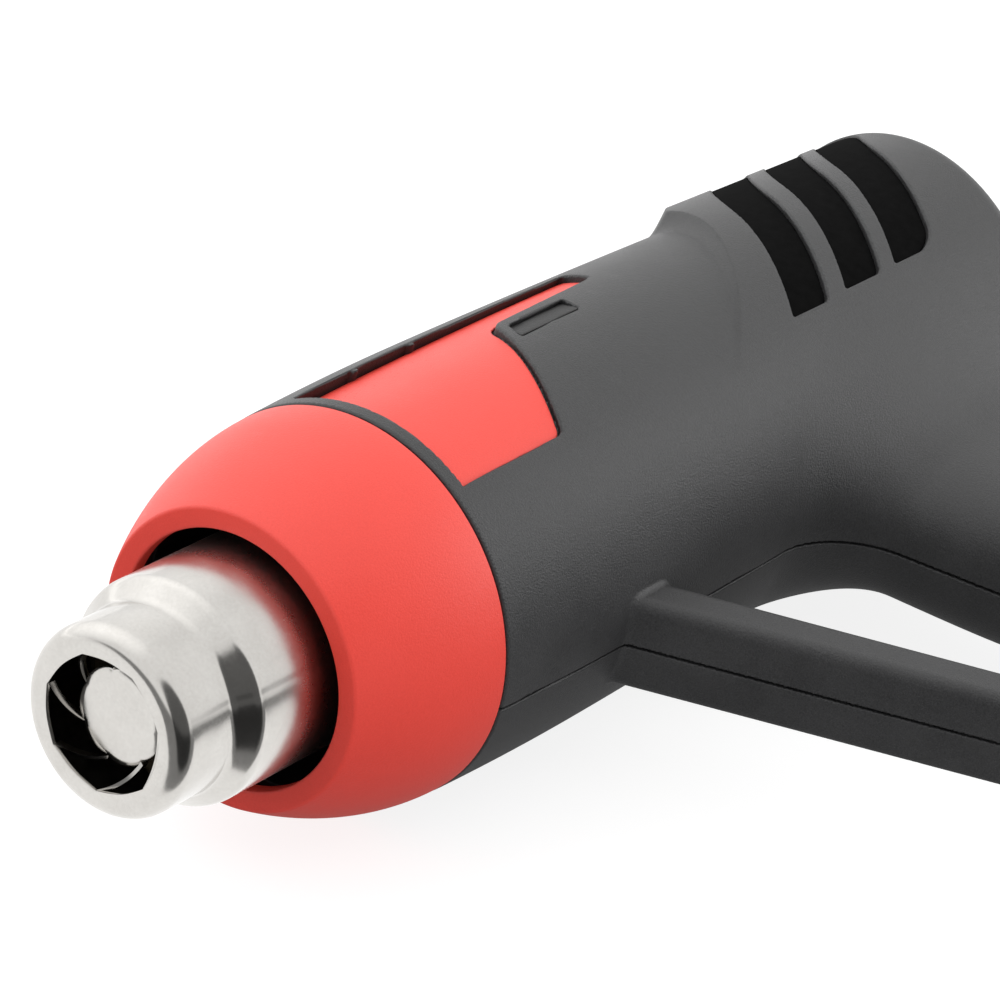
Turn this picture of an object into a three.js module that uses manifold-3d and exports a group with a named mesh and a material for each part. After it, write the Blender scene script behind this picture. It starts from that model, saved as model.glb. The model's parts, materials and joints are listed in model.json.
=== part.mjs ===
// Hot air tool with a pistol grip, lying on its right side.
// Millimetres. In the tool's own group X runs back from the nozzle along the barrel's axis,
// Y is up as the tool is held, so the handle runs to -Y, and Z points to the tool's left.
import * as THREE from "three";
import { mergeVertices } from "three/addons/utils/BufferGeometryUtils.js";
import Module from "manifold-3d";

const wasm = await Module();
wasm.setup();

// Fits
const SEAT_GAP = 0.3;
const RUN_GAP = 0.1;
const SLIDE_GAP = 0.4;
const SCREW_GAP = 0.2;

// Facets around a full turn
const BODY_SIDES = 40;
const NOSE_SIDES = 32;
const INNER_SIDES = 24;
const SMALL_SIDES = 10;
const CURVE_STEPS = 4;

// Barrel of the housing
const SEAM_X = 61.5;
const BARREL_FRONT_R = 36.3;
const BARREL_BELLY_X = 95;
const BARREL_BELLY_R = 37;
const BARREL_WAIST_X = 182;
const BARREL_WAIST_R = 35.4;
const BARREL_TAIL_X = 200;
const BARREL_TAIL_R = 33;
const BARREL_STEPS = 5;
const WALL = 3;

// Motor end, a taller drum behind the barrel whose front edge leans back and sweeps back at the top
const STEP_RIM_X = 166;
const STEP_LENGTH = 2.5;
const STEP_FOOT_R = 29;
const STEP_SLOPE = 0.72;
const STEP_SWEEP_Y = 27;
const STEP_SWEEP = 0.12;
const MOTOR_END_RISE = 5.1;
const MOTOR_END_FRONT_R = 35.5;
const MOTOR_END_REAR_R = 33.8;
const REAR_X = 248.8;
const REAR_ROUND = 5.7;
const REAR_SLOPE = 0.2;
const LEAST_ROUND = 1;

// Handle: a straight slanted grip with a flared neck
const HANDLE_FRONT_X = 172;
const HANDLE_FRONT_Y = -59.6;
const HANDLE_SLANT = THREE.MathUtils.degToRad(19.6);
const HANDLE_DEPTH = 44.2;
const HANDLE_HALF_WIDTH = 16.2;
const HANDLE_BASE_Y = -170;
const HANDLE_SQUARENESS = 2.8;
const HANDLE_BASE_ROUND = 3;
const HANDLE_RINGS = 12;
const HANDLE_SIDES = 24;
// Neck stations: height, then how far front, back and sides stand out of the straight grip
const NECK = [
  [-22, 13, 26, 3],
  [-34, 13, 25, 2.5],
  [-39, 9.2, 22, 1.2],
  [-45, 2.2, 15, 0.4],
  [-52, 0.2, 7.5, 0],
  [-62, 0, 2, 0],
  [-76, 0, 0, 0],
];

// Knuckle guard from the barrel to the handle's foot
const GUARD_TOP_X = 97.6;
const GUARD_TOP_Y = -37.4;
const GUARD_SLANT = THREE.MathUtils.degToRad(32.4);
const GUARD_THICK = 10;
const GUARD_HALF_WIDTH = 9.4;
const GUARD_EDGE = 2.5;
const GUARD_EDGE_STEPS = 2;
const GUARD_ROOT_Y = -28;
const GUARD_TOE_ROUND = 16;
const LOOP_FLOOR_Y = -152;
const LOOP_ROUND = 8;
const GUARD_HEEL = 15;

// Side inlay, badge and vents, as seen from the side
const RECESS_DEPTH = 1.8;
const INLAY_SINK = 0.6;
const INLAY = [
  [65.1, -15, 0.6],
  [93.3, -15, 1.2],
  [109.8, 14, 1.5],
  [142.4, 15.6, 1],
  [144.4, 22.4, 1.5],
  [65.1, 22.4, 0.6],
];
const BADGE_DEPTH = 1.4;
const BADGE_SINK = 0.6;
const BADGE = [
  [108.4, 6.9, 0.6],
  [126.8, 7.3, 0.6],
  [128.4, 12.1, 0.6],
  [111.2, 11.7, 0.6],
];
const VENT_COUNT = 3;
const VENT_FRONT_X = 176.5;
const VENT_PITCH = 17.8;
const VENT_WIDTH = 12.4;
const VENT_LOW_Y = -13.8;
const VENT_TOP_Y = 29;
const VENT_SLOPE = 0.65;
const VENT_BEND = 0.005;
const VENT_INNER_Z = 6;
const SCREEN_THICK = 1.2;
const SCREEN_MARGIN = 1.5;

// Nozzle tube, drawn from sheet
const NOZZLE_FRONT_X = -1.4;
const NOZZLE_MOUTH_R = 12.5;
const NOZZLE_FRONT_R = 17.3;
const NOZZLE_REAR_R = 20.5;
const NOZZLE_STEP_X = 12;
const NOZZLE_STEP_LENGTH = 4;
const NOZZLE_WALL = 0.8;
const NOZZLE_ROUND = 3.5;
const NOZZLE_FLANGE_R = 30;

// Swirl plate in the mouth
const SWIRL_X = 3;
const SWIRL_THICK = 1;
const SWIRL_DISC_R = 8.7;
const SWIRL_RING = 1.2;
const SWIRL_ARMS = 7;
const SWIRL_ARM_WIDTH = 1.8;
const SWIRL_SWEEP = THREE.MathUtils.degToRad(40);

// Collar, the domed heat guard that pulls off forwards
const COLLAR_FACE_X = 31.2;
const COLLAR_FACE_R = 27.4;
const COLLAR_MOUTH_R = 23.6;
const COLLAR_REAR_R = 36.2;
const COLLAR_FULLNESS = 1.91;
const COLLAR_WALL = 2.4;
const COLLAR_STEPS = 6;
const COLLAR_SEAT_LENGTH = 8;
const COLLAR_SEAT_WALL = 5.5;
const SEAM_GAP = 0.35;
const NOSE_WALL = 2.6;
const NOSE_CLEARANCE = 0.25;

// Heater
const SLEEVE_WALL = 0.8;
const SLEEVE_FRONT_X = 18;
const CORE_FRONT_X = 22;
const CORE_LENGTH = 72;
const CORE_REAR_ROOM = 3.95;
const CORE_PLATE = 1.4;
const CORE_END = 4;
const COIL_TURNS = 8;
const COIL_WIRE_R = 0.6;
const COIL_GAP = 0.8;
const COIL_STEPS_PER_TURN = 12;
const COIL_SIDES = 4;
const COIL_DEPTH = 3;
const DISC_THICK = 1.2;
const DISC_HOLES = 6;
const DISC_HOLE_R = 3.2;
const DISC_HOLE_CIRCLE_R = 11;
const SUPPORT_X = 78;
const SUPPORT_THICK = 4;
const SUPPORT_HOLES = 8;
const SUPPORT_HOLE_R = 3.6;
const CUTOUT_SIZE = [9, 6, 8];

// Fan and motor
const FAN_X = 146;
const FAN_DEPTH = 10;
const FAN_R = 28.5;
const FAN_HUB_R = 9;
const FAN_BLADES = 9;
const FAN_BLADE_THICK = 1.4;
const FAN_BLADE_CHORD = 10.5;
const FAN_BLADE_PITCH = THREE.MathUtils.degToRad(38);
const FAN_TIP_GAP = 1.2;
const SHROUD_LEAD = 4;
const SHROUD_WALL = 1.8;
const SHROUD_ARMS = 3;
const SHROUD_ARM_WIDTH = 5;
const SHROUD_ARM_DEPTH = 4;
const SHAFT_R = 1.6;
const MOTOR_R = 18;
const MOTOR_WALL = 1.4;
const MOTOR_LENGTH = 48;
const MOTOR_FAN_GAP = 6;
const MOTOR_CUP_DEPTH = 6;
const MOTOR_CUP_WALL = 1.6;
const ARMATURE_R = 13;
const ARMATURE_LENGTH = 28;
const BUSH_R = 4;
const BUSH_LENGTH = 5;
const BUSH_HOUSING_WALL = 1.4;
const END_CAP_THICK = 3;
const SHAFT_TAIL = 1.5;
const BOARD_R = 15;
const BOARD_THICK = 1.6;
const DIODES = 4;
const DIODE_R = 1.8;
const DIODE_LENGTH = 4;

// Switch with a thumb slide on the handle's back, in the handle's slanted frame
const SWITCH_Y = -84;
const SLIDE_TRAVEL = 10;
const SLIDE_STEM_LENGTH = 8;
const SLIDE_STEM_WIDTH = 5;
const SLIDE_STEM_DEPTH = 7;
const SLIDE_PAD_WIDTH = 9.5;
const SLIDE_PAD_THICK = 3;
const SLIDE_PAD_OVERLAP = 3;
const SLIDE_RIB_INSET = 1;
const SLIDE_RIBS = 5;
const SLIDE_RIB_PITCH = 2.6;
const SLIDE_RIB_SIZE = 1;
const SLIDE_FLAT_DEPTH = 1.4;
const SWITCH_BODY_DEPTH = 15;
const SWITCH_BODY_WIDTH = 14;
const SWITCH_BODY_MARGIN = 4;
const SUPPRESSOR_SIZE = [13, 17, 10];
const CRADLE_INSET = 3.5;

// Cord inlet in the handle's foot
const GLAND_BORE_R = 4.3;
const GLAND_WALL = 2;
const GLAND_FLANGE = 2;
const GLAND_FLANGE_THICK = 3;
const GLAND_LENGTH = 10;
const GLAND_BACK = 17;
const CLAMP_RISE = 22;
const CLAMP_BAR = [26, 7, 4];
const CLAMP_Z = -5;
const CLAMP_HOLE_SPACING = 18;

// Screws: place and depth of the head's seat below the parting plane
const SCREW_R = 1.5;
const SCREW_HEAD_R = 3;
const SCREW_HEAD_THICK = 2.4;
const SCREW_REACH = 8;
const BOSS_R = 4;
const SCREW_SLOT = 0.8;
const CLAMP_SCREW_LENGTH = 7;
const SCREWS = [
  [122, 26, 14],
  [122, -26, 14],
  [236, 6, 16],
  [214, -44, 9],
  [183, -60, 9],
  [217, -140, 9],
  [131.5, -81.5, 6],
  [196, -161, 6],
];

// Materials
const MATERIALS = {
  greyPlastic: new THREE.MeshStandardMaterial({ color: 0x4a4a4b, roughness: 0.62, metalness: 0 }),
  redPlastic: new THREE.MeshStandardMaterial({ color: 0xe5322d, roughness: 0.5, metalness: 0 }),
  blackPlastic: new THREE.MeshStandardMaterial({ color: 0x151515, roughness: 0.55, metalness: 0 }),
  polishedSteel: new THREE.MeshStandardMaterial({ color: 0xc9c7c3, roughness: 0.2, metalness: 1 }),
  mica: new THREE.MeshStandardMaterial({ color: 0xb9a98a, roughness: 0.7, metalness: 0 }),
  heaterWire: new THREE.MeshStandardMaterial({ color: 0x8d8781, roughness: 0.4, metalness: 1 }),
  motorSteel: new THREE.MeshStandardMaterial({ color: 0x9a9ca0, roughness: 0.4, metalness: 1 }),
  bronze: new THREE.MeshStandardMaterial({ color: 0xa67c44, roughness: 0.4, metalness: 1 }),
  boardGreen: new THREE.MeshStandardMaterial({ color: 0x2f6b3c, roughness: 0.6, metalness: 0 }),
  screwSteel: new THREE.MeshStandardMaterial({ color: 0x6f7175, roughness: 0.35, metalness: 1 }),
};

// Reach of tools that cut right through the body
const FAR = 90;

// Corners: least radius, and the most of an edge that one corner may take
const LEAST_CORNER = 0.2;
const CORNER_SHARE = 0.45;

// Points closer than this are one
const WELD = 1e-4;

// A closed geometry as a solid with its faces pointing out
function toSolid(geometry) {
  const bare = geometry.clone();
  bare.deleteAttribute("normal");
  bare.deleteAttribute("uv");
  const merged = mergeVertices(bare, WELD);
  const vertProperties = new Float32Array(merged.attributes.position.array);
  const triVerts = new Uint32Array(merged.index.array);
  const made = new wasm.Manifold(new wasm.Mesh({ numProp: 3, vertProperties, triVerts }));
  if (made.volume() > 0) return made;
  for (let i = 0; i < triVerts.length; i += 3) {
    const first = triVerts[i];
    triVerts[i] = triVerts[i + 1];
    triVerts[i + 1] = first;
  }
  return new wasm.Manifold(new wasm.Mesh({ numProp: 3, vertProperties, triVerts }));
}

function toGeometry(solid) {
  const mesh = solid.getMesh();
  const geometry = new THREE.BufferGeometry();
  geometry.setAttribute("position", new THREE.BufferAttribute(mesh.vertProperties, mesh.numProp));
  geometry.setIndex(new THREE.BufferAttribute(mesh.triVerts, 1));
  geometry.computeVertexNormals();
  return geometry;
}

function joined(solids) {
  return solids.reduce((sum, solid) => sum.add(solid));
}

// Basic solids
function latheGeometry(profile, sides) {
  const points = profile.map(([x, r]) => new THREE.Vector2(r, x));
  return new THREE.LatheGeometry(points, sides).rotateZ(-Math.PI / 2);
}

function lathe(profile, sides) {
  return toSolid(latheGeometry(profile, sides));
}

function ring(x0, x1, inner, outer, sides) {
  const corners = [
    [x0, inner],
    [x0, outer],
    [x1, outer],
    [x1, inner],
    [x0, inner],
  ];
  return lathe(corners, sides);
}

function rodX(r, x0, x1, y, z, sides) {
  const geometry = new THREE.CylinderGeometry(r, r, x1 - x0, sides).rotateZ(Math.PI / 2);
  return toSolid(geometry.translate((x0 + x1) / 2, y, z));
}

function rodY(r, y0, y1, x, z, sides) {
  const geometry = new THREE.CylinderGeometry(r, r, y1 - y0, sides);
  return toSolid(geometry.translate(x, (y0 + y1) / 2, z));
}

function rodZ(r, z0, z1, x, y, sides) {
  const geometry = new THREE.CylinderGeometry(r, r, z1 - z0, sides).rotateX(Math.PI / 2);
  return toSolid(geometry.translate(x, y, (z0 + z1) / 2));
}

function block(x0, x1, y0, y1, z0, z1) {
  const geometry = new THREE.BoxGeometry(x1 - x0, y1 - y0, z1 - z0);
  return toSolid(geometry.translate((x0 + x1) / 2, (y0 + y1) / 2, (z0 + z1) / 2));
}

// A polygon whose corners are [x, y, radius], with its edges moved inwards by inset
function cornerShape(corners, inset = 0) {
  const points = corners.map(([x, y]) => new THREE.Vector2(x, y));
  const count = points.length;
  const turn = Math.sign(THREE.ShapeUtils.area(points));
  const edges = points.map((point, i) => {
    const along = points[(i + 1) % count].clone().sub(point).normalize();
    const inward = new THREE.Vector2(-along.y, along.x).multiplyScalar(turn);
    return { along, start: point.clone().addScaledVector(inward, inset) };
  });
  const moved = edges.map((edge, i) => {
    const before = edges[(i + count - 1) % count];
    const cross = before.along.cross(edge.along);
    const reach = edge.start.clone().sub(before.start).cross(edge.along) / cross;
    return before.start.clone().addScaledVector(before.along, reach);
  });
  const shape = new THREE.Shape();
  moved.forEach((corner, i) => {
    const previous = moved[(i + count - 1) % count];
    const next = moved[(i + 1) % count];
    const back = previous.clone().sub(corner);
    const ahead = next.clone().sub(corner);
    const halfAngle = back.angleTo(ahead) / 2;
    const wanted = Math.max(corners[i][2] - inset, LEAST_CORNER) / Math.tan(halfAngle);
    const room = CORNER_SHARE * Math.min(back.length(), ahead.length());
    const cut = Math.min(wanted, room);
    const from = corner.clone().addScaledVector(back.normalize(), cut);
    const to = corner.clone().addScaledVector(ahead.normalize(), cut);
    if (i === 0) shape.moveTo(from.x, from.y);
    else shape.lineTo(from.x, from.y);
    shape.quadraticCurveTo(corner.x, corner.y, to.x, to.y);
  });
  shape.closePath();
  return shape;
}

// A side-view shape as a prism between two heights
function prism(shape, z0, z1) {
  const options = { depth: z1 - z0, bevelEnabled: false, curveSegments: CURVE_STEPS };
  return toSolid(new THREE.ExtrudeGeometry(shape, options).translate(0, 0, z0));
}

// A shape drawn across the barrel as a prism along it; the shape's x points to -Z
function prismX(shape, x0, x1) {
  const options = { depth: x1 - x0, bevelEnabled: false, curveSegments: CURVE_STEPS };
  const geometry = new THREE.ExtrudeGeometry(shape, options).rotateY(Math.PI / 2);
  return toSolid(geometry.translate(x0, 0, 0));
}

// A skin over rings of equally many points with flat ends; flatten gives a ring's own plane
function loft(rings, flatten) {
  const size = rings[0].length;
  const index = [];
  for (let i = 0; i + 1 < rings.length; i += 1) {
    for (let j = 0; j < size; j += 1) {
      const a = i * size + j;
      const b = i * size + ((j + 1) % size);
      index.push(a, b, a + size, b, b + size, a + size);
    }
  }
  const last = (rings.length - 1) * size;
  for (const [a, b, c] of THREE.ShapeUtils.triangulateShape(rings[0].map(flatten), [])) {
    index.push(a, c, b);
    index.push(last + a, last + b, last + c);
  }
  const geometry = new THREE.BufferGeometry().setFromPoints(rings.flat());
  geometry.setIndex(index);
  return toSolid(geometry);
}

function turnedX(solid, angle) {
  return solid.rotate([THREE.MathUtils.radToDeg(angle), 0, 0]);
}

function aroundX(count, make) {
  return Array.from({ length: count }, (_, i) => turnedX(make(), (i * 2 * Math.PI) / count));
}

// Places along the motor's shaft
const fanRearX = FAN_X + FAN_DEPTH;
const motorFrontX = fanRearX + MOTOR_FAN_GAP;
const motorRearX = motorFrontX + MOTOR_LENGTH;
const boreR = SHAFT_R + RUN_GAP;

// Housing: outer forms and the hollows inside them, each moved inwards by inset
function sidesAt(inset) {
  return inset < WALL ? BODY_SIDES : INNER_SIDES;
}

const HOUSING_FRONT_X = SEAM_X + SEAM_GAP;

const barrelCurve = new THREE.SplineCurve([
  new THREE.Vector2(HOUSING_FRONT_X, BARREL_FRONT_R),
  new THREE.Vector2(BARREL_BELLY_X, BARREL_BELLY_R),
  new THREE.Vector2(BARREL_WAIST_X, BARREL_WAIST_R),
]);

function barrelRadius(x) {
  const samples = barrelCurve.getPoints(BARREL_STEPS);
  const after = Math.max(1, samples.findIndex((p) => p.x >= x));
  const low = samples[after - 1];
  const high = samples[after];
  return THREE.MathUtils.mapLinear(x, low.x, high.x, low.y, high.y);
}

function barrel(inset, frontX) {
  const samples = barrelCurve.getPoints(BARREL_STEPS).filter((p) => p.x > frontX);
  const skin = samples.map((p) => [p.x, p.y - inset]);
  const first = [frontX, barrelRadius(frontX) - inset];
  const tail = [BARREL_TAIL_X, BARREL_TAIL_R - inset];
  return lathe([[frontX, 0], first, ...skin, tail, [BARREL_TAIL_X, 0]], sidesAt(inset));
}

function motorEnd(inset) {
  const rearX = REAR_X - inset;
  const round = Math.max(REAR_ROUND - inset, LEAST_ROUND);
  const rimX = STEP_RIM_X + inset;
  const footX = rimX - STEP_LENGTH;
  const rearR = MOTOR_END_REAR_R - inset;
  const profile = [
    [footX, 0],
    [footX, STEP_FOOT_R - inset],
    [rimX, MOTOR_END_FRONT_R - inset],
  ];
  for (let i = 0; i <= CURVE_STEPS; i += 1) {
    const angle = (i / CURVE_STEPS) * (Math.PI / 2);
    profile.push([rearX - round + round * Math.sin(angle), rearR - round + round * Math.cos(angle)]);
  }
  profile.push([rearX, 0]);
  const geometry = latheGeometry(profile, sidesAt(inset));
  const place = geometry.attributes.position;
  const stretch = 1 + MOTOR_END_RISE / (2 * MOTOR_END_FRONT_R);
  for (let i = 0; i < place.count; i += 1) {
    const x = place.getX(i);
    const y = place.getY(i) * stretch + MOTOR_END_RISE / 2;
    const back = THREE.MathUtils.mapLinear(x, footX, rearX, 0, 1);
    const lean = THREE.MathUtils.lerp(STEP_SLOPE, REAR_SLOPE, back) * y;
    const sweep = STEP_SWEEP * Math.max(y - STEP_SWEEP_Y, 0) ** 2 * (1 - back);
    place.setXYZ(i, x + lean + sweep, y, place.getZ(i));
  }
  return toSolid(geometry);
}

function handleFrontX(y) {
  return HANDLE_FRONT_X + (HANDLE_FRONT_Y - y) * Math.tan(HANDLE_SLANT);
}

function handleBackX(y) {
  return handleFrontX(y) + HANDLE_DEPTH;
}

function handleRing(y, front, back, half) {
  const points = [];
  for (let j = 0; j < HANDLE_SIDES; j += 1) {
    const angle = (j / HANDLE_SIDES) * 2 * Math.PI;
    const across = Math.cos(angle);
    const aside = Math.sin(angle);
    const x = Math.sign(across) * Math.abs(across) ** (2 / HANDLE_SQUARENESS);
    const z = Math.sign(aside) * Math.abs(aside) ** (2 / HANDLE_SQUARENESS);
    points.push(new THREE.Vector3((front + back) / 2 + (x * (back - front)) / 2, y, z * half));
  }
  return points;
}

function handle(inset) {
  const footY = HANDLE_BASE_Y + inset;
  const shoulderY = HANDLE_BASE_Y + HANDLE_BASE_ROUND + inset;
  const rows = [...NECK, [shoulderY, 0, 0, 0]];
  const stations = rows.map(([y, front, back, side]) => [
    new THREE.Vector2(handleFrontX(y) - front + inset, y),
    new THREE.Vector2(handleBackX(y) + back - inset, y),
    new THREE.Vector2(HANDLE_HALF_WIDTH + side - inset, y),
  ]);
  const curves = [0, 1, 2].map((k) => new THREE.SplineCurve(stations.map((row) => row[k])));
  const rings = [];
  for (let i = 0; i <= HANDLE_RINGS; i += 1) {
    const [front, back, half] = curves.map((curve) => curve.getPoint(i / HANDLE_RINGS));
    rings.push(handleRing(front.y, front.x, back.x, half.x));
  }
  const soften = HANDLE_BASE_ROUND;
  const front = handleFrontX(footY) + inset + soften;
  const back = handleBackX(footY) - inset - soften;
  rings.push(handleRing(footY, front, back, HANDLE_HALF_WIDTH - inset - soften));
  return loft(rings, (point) => new THREE.Vector2(point.x, point.z));
}

function guardFrontX(y) {
  return GUARD_TOP_X + (GUARD_TOP_Y - y) * Math.tan(GUARD_SLANT);
}

function guardBackX(y) {
  return guardFrontX(y) + GUARD_THICK / Math.cos(GUARD_SLANT);
}

function guard() {
  const heelX = handleFrontX(LOOP_FLOOR_Y) + GUARD_HEEL;
  const corners = [
    [guardFrontX(GUARD_ROOT_Y), GUARD_ROOT_Y, GUARD_EDGE],
    [guardFrontX(HANDLE_BASE_Y), HANDLE_BASE_Y, GUARD_TOE_ROUND],
    [heelX, HANDLE_BASE_Y, GUARD_EDGE],
    [heelX, LOOP_FLOOR_Y, GUARD_EDGE],
    [guardBackX(LOOP_FLOOR_Y), LOOP_FLOOR_Y, LOOP_ROUND],
    [guardBackX(GUARD_ROOT_Y), GUARD_ROOT_Y, GUARD_EDGE],
  ];
  const level = (inset, z) => {
    const outline = cornerShape(corners, inset).getPoints(CURVE_STEPS).slice(0, -1);
    return outline.map((point) => new THREE.Vector3(point.x, point.y, z));
  };
  const rings = [];
  for (const side of [-1, 1]) {
    for (let i = 0; i <= GUARD_EDGE_STEPS; i += 1) {
      const share = side < 0 ? i / GUARD_EDGE_STEPS : 1 - i / GUARD_EDGE_STEPS;
      const angle = (share * Math.PI) / 2;
      const z = side * (GUARD_HALF_WIDTH - GUARD_EDGE * (1 - Math.cos(Math.PI / 2 - angle)));
      rings.push(level(GUARD_EDGE * (1 - Math.sin(angle)), z));
    }
  }
  return loft(rings, (point) => new THREE.Vector2(point.x, point.y));
}

// Vent slots lean back as they rise; their edges are parabolas in the side view
function ventEdgeX(baseX, y) {
  return baseX + VENT_SLOPE * y + VENT_BEND * y * y;
}

function ventShape(frontX, rearX, lowY, topY) {
  const midY = (lowY + topY) / 2;
  const lowSlope = VENT_SLOPE + 2 * VENT_BEND * lowY;
  const controlX = (baseX) => ventEdgeX(baseX, lowY) + lowSlope * (midY - lowY);
  const shape = new THREE.Shape();
  shape.moveTo(ventEdgeX(frontX, lowY), lowY);
  shape.lineTo(ventEdgeX(rearX, lowY), lowY);
  shape.quadraticCurveTo(controlX(rearX), midY, ventEdgeX(rearX, topY), topY);
  shape.lineTo(ventEdgeX(frontX, topY), topY);
  shape.quadraticCurveTo(controlX(frontX), midY, ventEdgeX(frontX, lowY), lowY);
  return shape;
}

// The slanted frame of the slide switch: x down the handle, y out of its back, z to the left
const slideSeatX = handleBackX(SWITCH_Y) - SLIDE_FLAT_DEPTH / Math.cos(HANDLE_SLANT);
const slideFrame = new THREE.Matrix4()
  .makeTranslation(slideSeatX, SWITCH_Y, 0)
  .multiply(new THREE.Matrix4().makeRotationZ(HANDLE_SLANT - Math.PI / 2));

function slideBlock(u0, u1, v0, v1, half) {
  return block(u0, u1, v0, v1, -half, half).transform(slideFrame.elements);
}

const slideSlotFront = -SLIDE_STEM_LENGTH / 2 - SLIDE_GAP;
const slideSlotRear = SLIDE_STEM_LENGTH / 2 + SLIDE_TRAVEL + SLIDE_GAP;
const slidePadHalf = SLIDE_STEM_LENGTH / 2 + SLIDE_TRAVEL + SLIDE_PAD_OVERLAP;
const switchTop = -SLIDE_STEM_DEPTH - SEAT_GAP;

// Boxes of the switch and of the suppressor below it, in the slanted frame
function switchBox() {
  return {
    u0: slideSlotFront - SWITCH_BODY_MARGIN,
    u1: slideSlotRear + SWITCH_BODY_MARGIN,
    v0: switchTop - SWITCH_BODY_DEPTH,
    v1: switchTop,
    half: SWITCH_BODY_WIDTH / 2,
  };
}

function suppressorBox() {
  const u0 = switchBox().u1 + SEAT_GAP;
  const [depth, length, width] = SUPPRESSOR_SIZE;
  return { u0, u1: u0 + length, v0: switchTop - depth, v1: switchTop, half: width / 2 };
}
const glandX = handleBackX(HANDLE_BASE_Y) - GLAND_BACK;
const glandHoleR = GLAND_BORE_R + GLAND_WALL + SEAT_GAP;
const clampY = HANDLE_BASE_Y + CLAMP_RISE;

function mirrored(solid) {
  return solid.mirror([0, 0, 1]);
}

function housingHalves() {
  const outer = joined([barrel(0, HOUSING_FRONT_X), motorEnd(0), handle(0), guard()]);
  const hollow = joined([barrel(WALL, HOUSING_FRONT_X + WALL), motorEnd(WALL), handle(WALL)]);
  const deep = WALL / 2;
  const wallMiddle = joined([barrel(deep, HOUSING_FRONT_X + deep), motorEnd(deep), handle(deep)]);
  const bosses = joined(SCREWS.map(([x, y]) => rodZ(BOSS_R, -FAR, FAR, x, y, SMALL_SIDES)));
  const ribs = joined([bosses, shroudSeat(), ...cradlePads()]).intersect(wallMiddle);
  let body = outer.subtract(hollow).add(ribs);
  const mouthR = NOZZLE_REAR_R + SLIDE_GAP;
  body = body.subtract(rodX(mouthR, SEAM_X - WALL, HOUSING_FRONT_X + 2 * WALL, 0, 0, INNER_SIDES));
  const footTop = HANDLE_BASE_Y + 2 * WALL;
  body = body.subtract(rodY(glandHoleR, HANDLE_BASE_Y - WALL, footTop, glandX, 0, INNER_SIDES));
  const flatLow = slidePadHalf + SLIDE_TRAVEL + SLIDE_GAP;
  body = body.subtract(
    slideBlock(-slidePadHalf - SLIDE_GAP, flatLow, 0, FAR / 2, SLIDE_PAD_WIDTH / 2 + SLIDE_GAP),
  );
  const slotHalf = SLIDE_STEM_WIDTH / 2 + SLIDE_GAP;
  body = body.subtract(slideBlock(slideSlotFront, slideSlotRear, -2 * WALL, WALL, slotHalf));

  const recess = prism(cornerShape(INLAY), 0, FAR).subtract(barrel(RECESS_DEPTH, HOUSING_FRONT_X));
  const badgeCut = prism(cornerShape(BADGE), 0, FAR).subtract(barrel(BADGE_DEPTH, HOUSING_FRONT_X));
  let sideCuts = recess.add(badgeCut);
  for (let i = 0; i < VENT_COUNT; i += 1) {
    const front = VENT_FRONT_X + i * VENT_PITCH;
    const shape = ventShape(front, front + VENT_WIDTH, VENT_LOW_Y, VENT_TOP_Y);
    sideCuts = sideCuts.add(prism(shape, VENT_INNER_Z, FAR));
  }
  body = body.subtract(sideCuts).subtract(mirrored(sideCuts));

  const leftHalf = block(-FAR, 4 * FAR, -3 * FAR, FAR, SEAT_GAP / 2, FAR);
  let left = body.intersect(leftHalf);
  let right = body.intersect(mirrored(leftHalf));
  for (const [x, y, seat] of SCREWS) {
    const shank = SCREW_R + SCREW_GAP;
    left = left.subtract(rodZ(shank, -SCREW_REACH, SCREW_REACH + SCREW_GAP, x, y, SMALL_SIDES));
    right = right.subtract(rodZ(shank, -FAR, SCREW_REACH, x, y, SMALL_SIDES));
    right = right.subtract(rodZ(SCREW_HEAD_R + SCREW_GAP, -FAR, -seat, x, y, SMALL_SIDES));
  }
  right = right.add(clampSaddle());
  return { left, right };
}

// Ring inside the barrel's wall that the fan shroud sits in
function shroudSeat() {
  const inner = FAN_R + FAN_TIP_GAP + SHROUD_WALL + SEAT_GAP;
  return ring(FAN_X - SHROUD_LEAD, fanRearX, inner, BARREL_BELLY_R, INNER_SIDES);
}

// Pads on both inner walls of the handle that hold the switch and the suppressor between them
function cradlePads() {
  const held = [switchBox(), suppressorBox()];
  return held.flatMap(({ u0, u1, v0, v1, half }) => {
    const inset = CRADLE_INSET;
    const z0 = half + SEAT_GAP;
    const pad = block(u0 + inset, u1 - inset, v0 + inset, v1 - inset, z0, HANDLE_HALF_WIDTH);
    const placed = pad.transform(slideFrame.elements);
    return [placed, mirrored(placed)];
  });
}

// Saddle on the right half's inner wall that the cord clamp is screwed to
function clampSaddle() {
  const [length, width] = CLAMP_BAR;
  const centreX = (handleFrontX(clampY) + handleBackX(clampY)) / 2;
  const pad = block(
    centreX - length / 2,
    centreX + length / 2,
    clampY - width / 2,
    clampY + width / 2,
    -HANDLE_HALF_WIDTH + WALL / 2,
    CLAMP_Z,
  );
  const holes = clampHoles(SCREW_R + SCREW_GAP, CLAMP_Z - CLAMP_SCREW_LENGTH, CLAMP_Z + WALL);
  return pad.subtract(joined(holes));
}

function clampHoles(r, z0, z1) {
  const centreX = (handleFrontX(clampY) + handleBackX(clampY)) / 2;
  return [-1, 1].map((side) =>
    rodZ(r, z0, z1, centreX + (side * CLAMP_HOLE_SPACING) / 2, clampY, SMALL_SIDES),
  );
}

// Side trim
function trimPlate(corners, sink, depth) {
  const plate = prism(cornerShape(corners, SEAT_GAP), 0, FAR);
  const outside = barrel(sink, HOUSING_FRONT_X);
  return plate.intersect(outside.subtract(barrel(depth - SEAT_GAP, HOUSING_FRONT_X)));
}

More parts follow.
